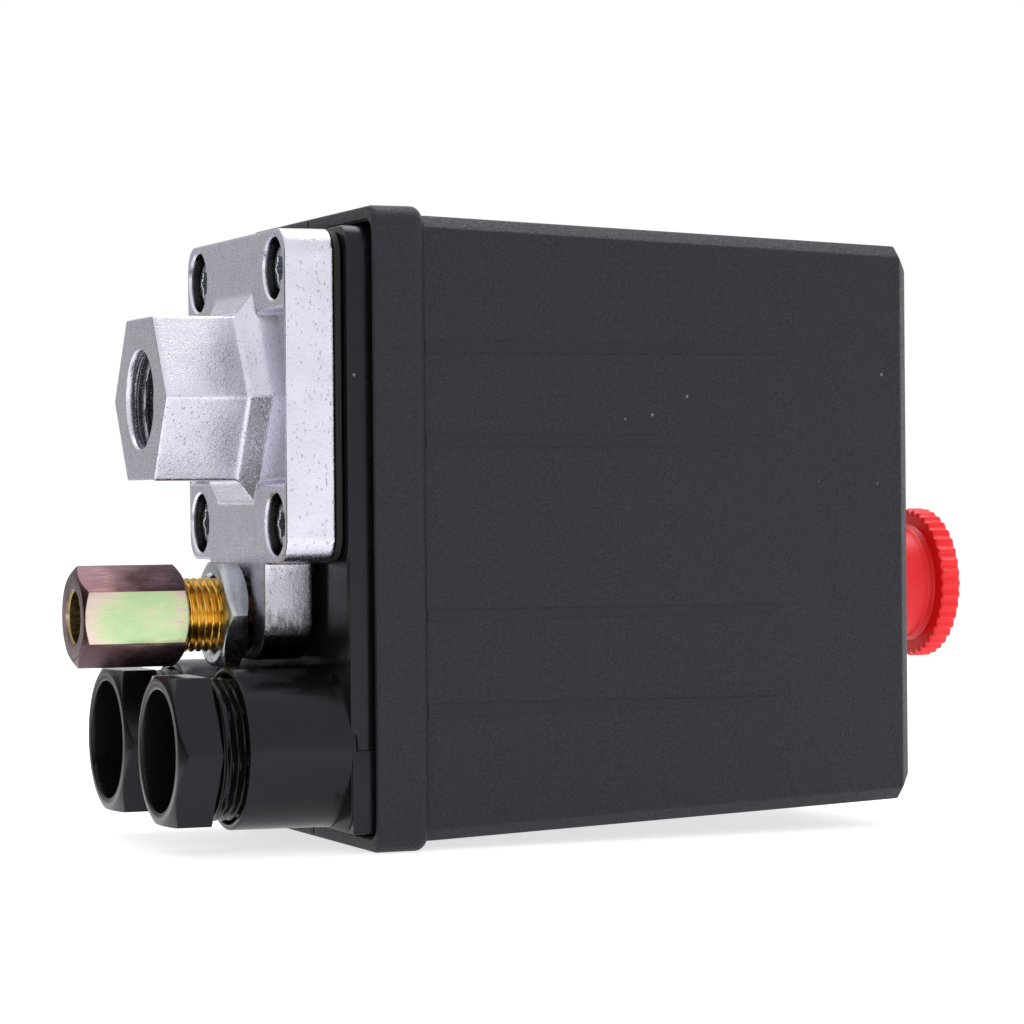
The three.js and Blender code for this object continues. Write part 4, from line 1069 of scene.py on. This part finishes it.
def tube_nut():
    bm = bmesh.new()
    z = UNLOADER_Z
    x0, x1 = tube_low.x, tube_high.x
    outside = hexagon_loops(TUBE_NUT_HEX, x0, x1, True, 0, z, corner_up=True)
    inside = [
        ring(x1 - 0.3, UNLOADER_R + 0.3, 0, z),
        ring(x0 + 5, UNLOADER_R + 0.3, 0, z),
        ring(x0 + 4.8, TUBE_BORE_R, 0, z),
        ring(x0 + 0.5, TUBE_BORE_R, 0, z),
        ring(x0 + 0.05, TUBE_BORE_R + 0.35, 0, z),
    ]
    rows = loft(bm, [*inside, *outside])
    bridge(bm, rows[0], rows[-1])
    mesh = mesh_from(bm, "tube_nut", 30)
    piece(mesh, LOOKS["yellow_zinc"], "yellow_zinc", "housing", "compression_nut")


# ---------------------------------------------------------------- knob
def knob():
    bm = bmesh.new()
    z = KNOB_Z
    count = KNOB_TEETH * 8
    disc_r = knob_high.y
    front = knob_high.x
    back = front - KNOB_DISC
    angle = np.arange(count) * TAU / count
    tooth = KNOB_TOOTH_DEPTH * (0.5 - 0.5 * np.cos(KNOB_TEETH * angle)) ** 0.8
    edge = 0.5
    stations = []
    for i in range(5):
        turn = i / 4 * math.pi / 2
        stations.append((back + edge * (1 - math.sin(turn)), edge * (1 - math.cos(turn))))
    loops = [ring(back, KNOB_STEM_R - 1, 0, z, count), ring(back, disc_r - 1.4, 0, z, count)]
    for x, inset in reversed(stations):
        loops.append(ring(x, disc_r - tooth * (1 - inset) - inset, 0, z, count))
    for x, inset in stations:
        loops.append(ring(front - (x - back), disc_r - tooth * (1 - inset) - inset, 0, z, count))
    for x, radius in (
        (front, disc_r - 1.7),
        (front - 0.15, disc_r - 1.95),
        (front - 1.25, disc_r - 2.5),
        (front - 1.4, disc_r - 2.8),
        (front - 1.4, 4.6),
        (front - 1.3, 4.35),
        (front - 0.55, 4.1),
        (front - 0.4, 3.85),
        (front - 0.4, 0.5),
    ):
        loops.append(ring(x, radius, 0, z, count))
    loft(bm, loops, cap_first=True, cap_last=True)
    stem = soften(
        [
            (knob_low.x, 3.0),
            (knob_low.x, KNOB_STEM_R + 1.6),
            (knob_low.x + 2, KNOB_STEM_R + 1.6),
            (knob_low.x + 2, KNOB_STEM_R),
            (back - 0.7, KNOB_STEM_R),
            (back + 0.05, KNOB_STEM_R + 0.6),
            (back + 0.6, KNOB_STEM_R + 0.6),
            (back + 0.6, 3.0),
        ],
        0.2,
    )
    lathe(bm, stem, 0, z)
    mesh = mesh_from(bm, "push_pull_knob", 40)
    piece(mesh, LOOKS["knob_plastic"], "knob_plastic", "push_pull_knob", "knob")


# ---------------------------------------------------------------- stage
def flat_sheet(name, corners, look):
    """A four-cornered stage sheet."""
    mesh = bpy.data.meshes.new(name)
    mesh.from_pydata(corners, [], [(0, 1, 2, 3)])
    sheet = bpy.data.objects.new(name, mesh)
    bpy.context.scene.collection.objects.link(sheet)
    sheet.data.materials.append(look)
    return sheet


def dark_card(name, start, end, height, tone, spread=0.0):
    """A studio card beside the object, standing up or lying down, that paints dark reflections: only
    reflections show it, and it casts no shadow and lights nothing.
    """
    (x0, y0), (x1, y1) = start, end
    base = FLOOR_Z + 0.001
    top = base + height
    half = spread / 2
    corners = [
        (x0, y0 - half, base),
        (x1, y1 - half, base),
        (x1, y1 + half, top),
        (x0, y0 + half, top),
    ]
    material, tree = blank_material(name + "_look")
    cloth = noise(tree, object_point(tree), 40, 2)
    colour = mix(tree, cloth, grey(tone * 0.9), grey(tone * 1.1))
    surface(tree, Base_Color=colour, Roughness=0.9)
    card = flat_sheet(name, corners, material)
    card.visible_camera = False
    card.visible_shadow = False
    card.visible_diffuse = False


def stage():
    size = 6.0
    z = FLOOR_Z
    material, tree = blank_material("floor_look")
    tone = mix(tree, noise(tree, object_point(tree), 3, 2), grey(0.48), grey(0.52))
    surface(tree, Base_Color=tone, Roughness=0.6, Emission_Color=grey(1.0), Emission_Strength=0.7)
    corners = [(-size, -size, z), (size, -size, z), (size, size, z), (-size, size, z)]
    flat_sheet("floor", corners, material)
    dark_card("side_card", (-0.30, 0.02), (-0.24, 0.42), 0.14, 0.03)
    dark_card("low_card", (-0.26, 0.03), (-0.08, 0.03), 0.0, 0.03, 0.2)
    dark_card("rear_low_card", (-0.14, 0.20), (0.0, 0.20), 0.0, 0.30, 0.2)
    dark_card("back_card", (-0.24, 0.42), (-0.02, 0.46), 0.30, 0.36)


def area_light(name, offset, width, height, power):
    """A softbox at an offset from the object's centre, turned to face it."""
    place = CENTRE + Vector(offset)
    data = bpy.data.lights.new(name, "AREA")
    data.shape = "RECTANGLE"
    data.size = width
    data.size_y = height
    data.energy = power
    lamp = bpy.data.objects.new(name, data)
    bpy.context.scene.collection.objects.link(lamp)
    lamp.location = place
    lamp.rotation_mode = "QUATERNION"
    lamp.rotation_quaternion = (CENTRE - place).to_track_quat("-Z", "Y")


def lights():
    area_light("overhead_softbox", (0.2, 0.22, 0.9), 1.0, 0.6, 5.4)
    area_light("right_softbox", (0.9, 0.45, 0.1), 0.5, 0.6, 0.4)
    world = bpy.data.worlds.new("studio")
    bpy.context.scene.world = world
    world.use_nodes = True
    background = world.node_tree.nodes["Background"]
    background.inputs["Color"].default_value = (1.0, 1.0, 1.0, 1.0)
    background.inputs["Strength"].default_value = 1.0


def camera():
    azimuth = math.radians(21.98)
    down = math.radians(0.31)
    roll = math.radians(-0.49)
    distance = 484.1
    aim_offset = Vector((-1.1, 0.0, 1.9))
    aim = CENTRE + aim_offset * MM
    level = Vector((math.sin(azimuth), math.cos(azimuth), 0.0))
    forward = math.cos(down) * level + Vector((0.0, 0.0, -math.sin(down)))
    right = Vector((math.cos(azimuth), -math.sin(azimuth), 0.0))
    up = right.cross(forward)
    turned_right = math.cos(roll) * right + math.sin(roll) * up
    turned_up = math.cos(roll) * up - math.sin(roll) * right
    data = bpy.data.cameras.new("camera")
    data.sensor_width = 36.0
    data.lens = 121.65
    data.clip_start = 0.01
    data.clip_end = 50.0
    made = bpy.data.objects.new("camera", data)
    bpy.context.scene.collection.objects.link(made)
    turn = Matrix((turned_right, turned_up, -forward)).transposed()
    made.matrix_world = Matrix.Translation(aim - forward * distance * MM) @ turn.to_4x4()
    bpy.context.scene.camera = made


# ---------------------------------------------------------------- scene
def paint_frame():
    """Gives each CAD node that stays in view the material of its slot."""
    slots = {part["node"]: part["material_slot"] for part in frame["record"]["subparts"]}
    for name, thing in frame["nodes"].items():
        thing.data.materials.clear()
        thing.data.materials.append(LOOKS[slots[name]])


bpy.context.scene.view_settings.view_transform = "Standard"
paint_frame()
cover()
cover_land(1, 6.3, 1.7, 1.2)
cover_land(2, -6.08, 1.7, 1.35)
cover_land(3, -28.93, 1.5, 0.95)
cover_land(4, -41.37, 1.75, 0.7)
flange()
port_thread()
for number in (1, 2, 3, 4):
    flange_screw(number)
base()
for number in (1, 2):
    gland(number)
unloader_body()
lock_nut()
tube_nut()
knob()
cover_screw()
stage()
lights()
camera()
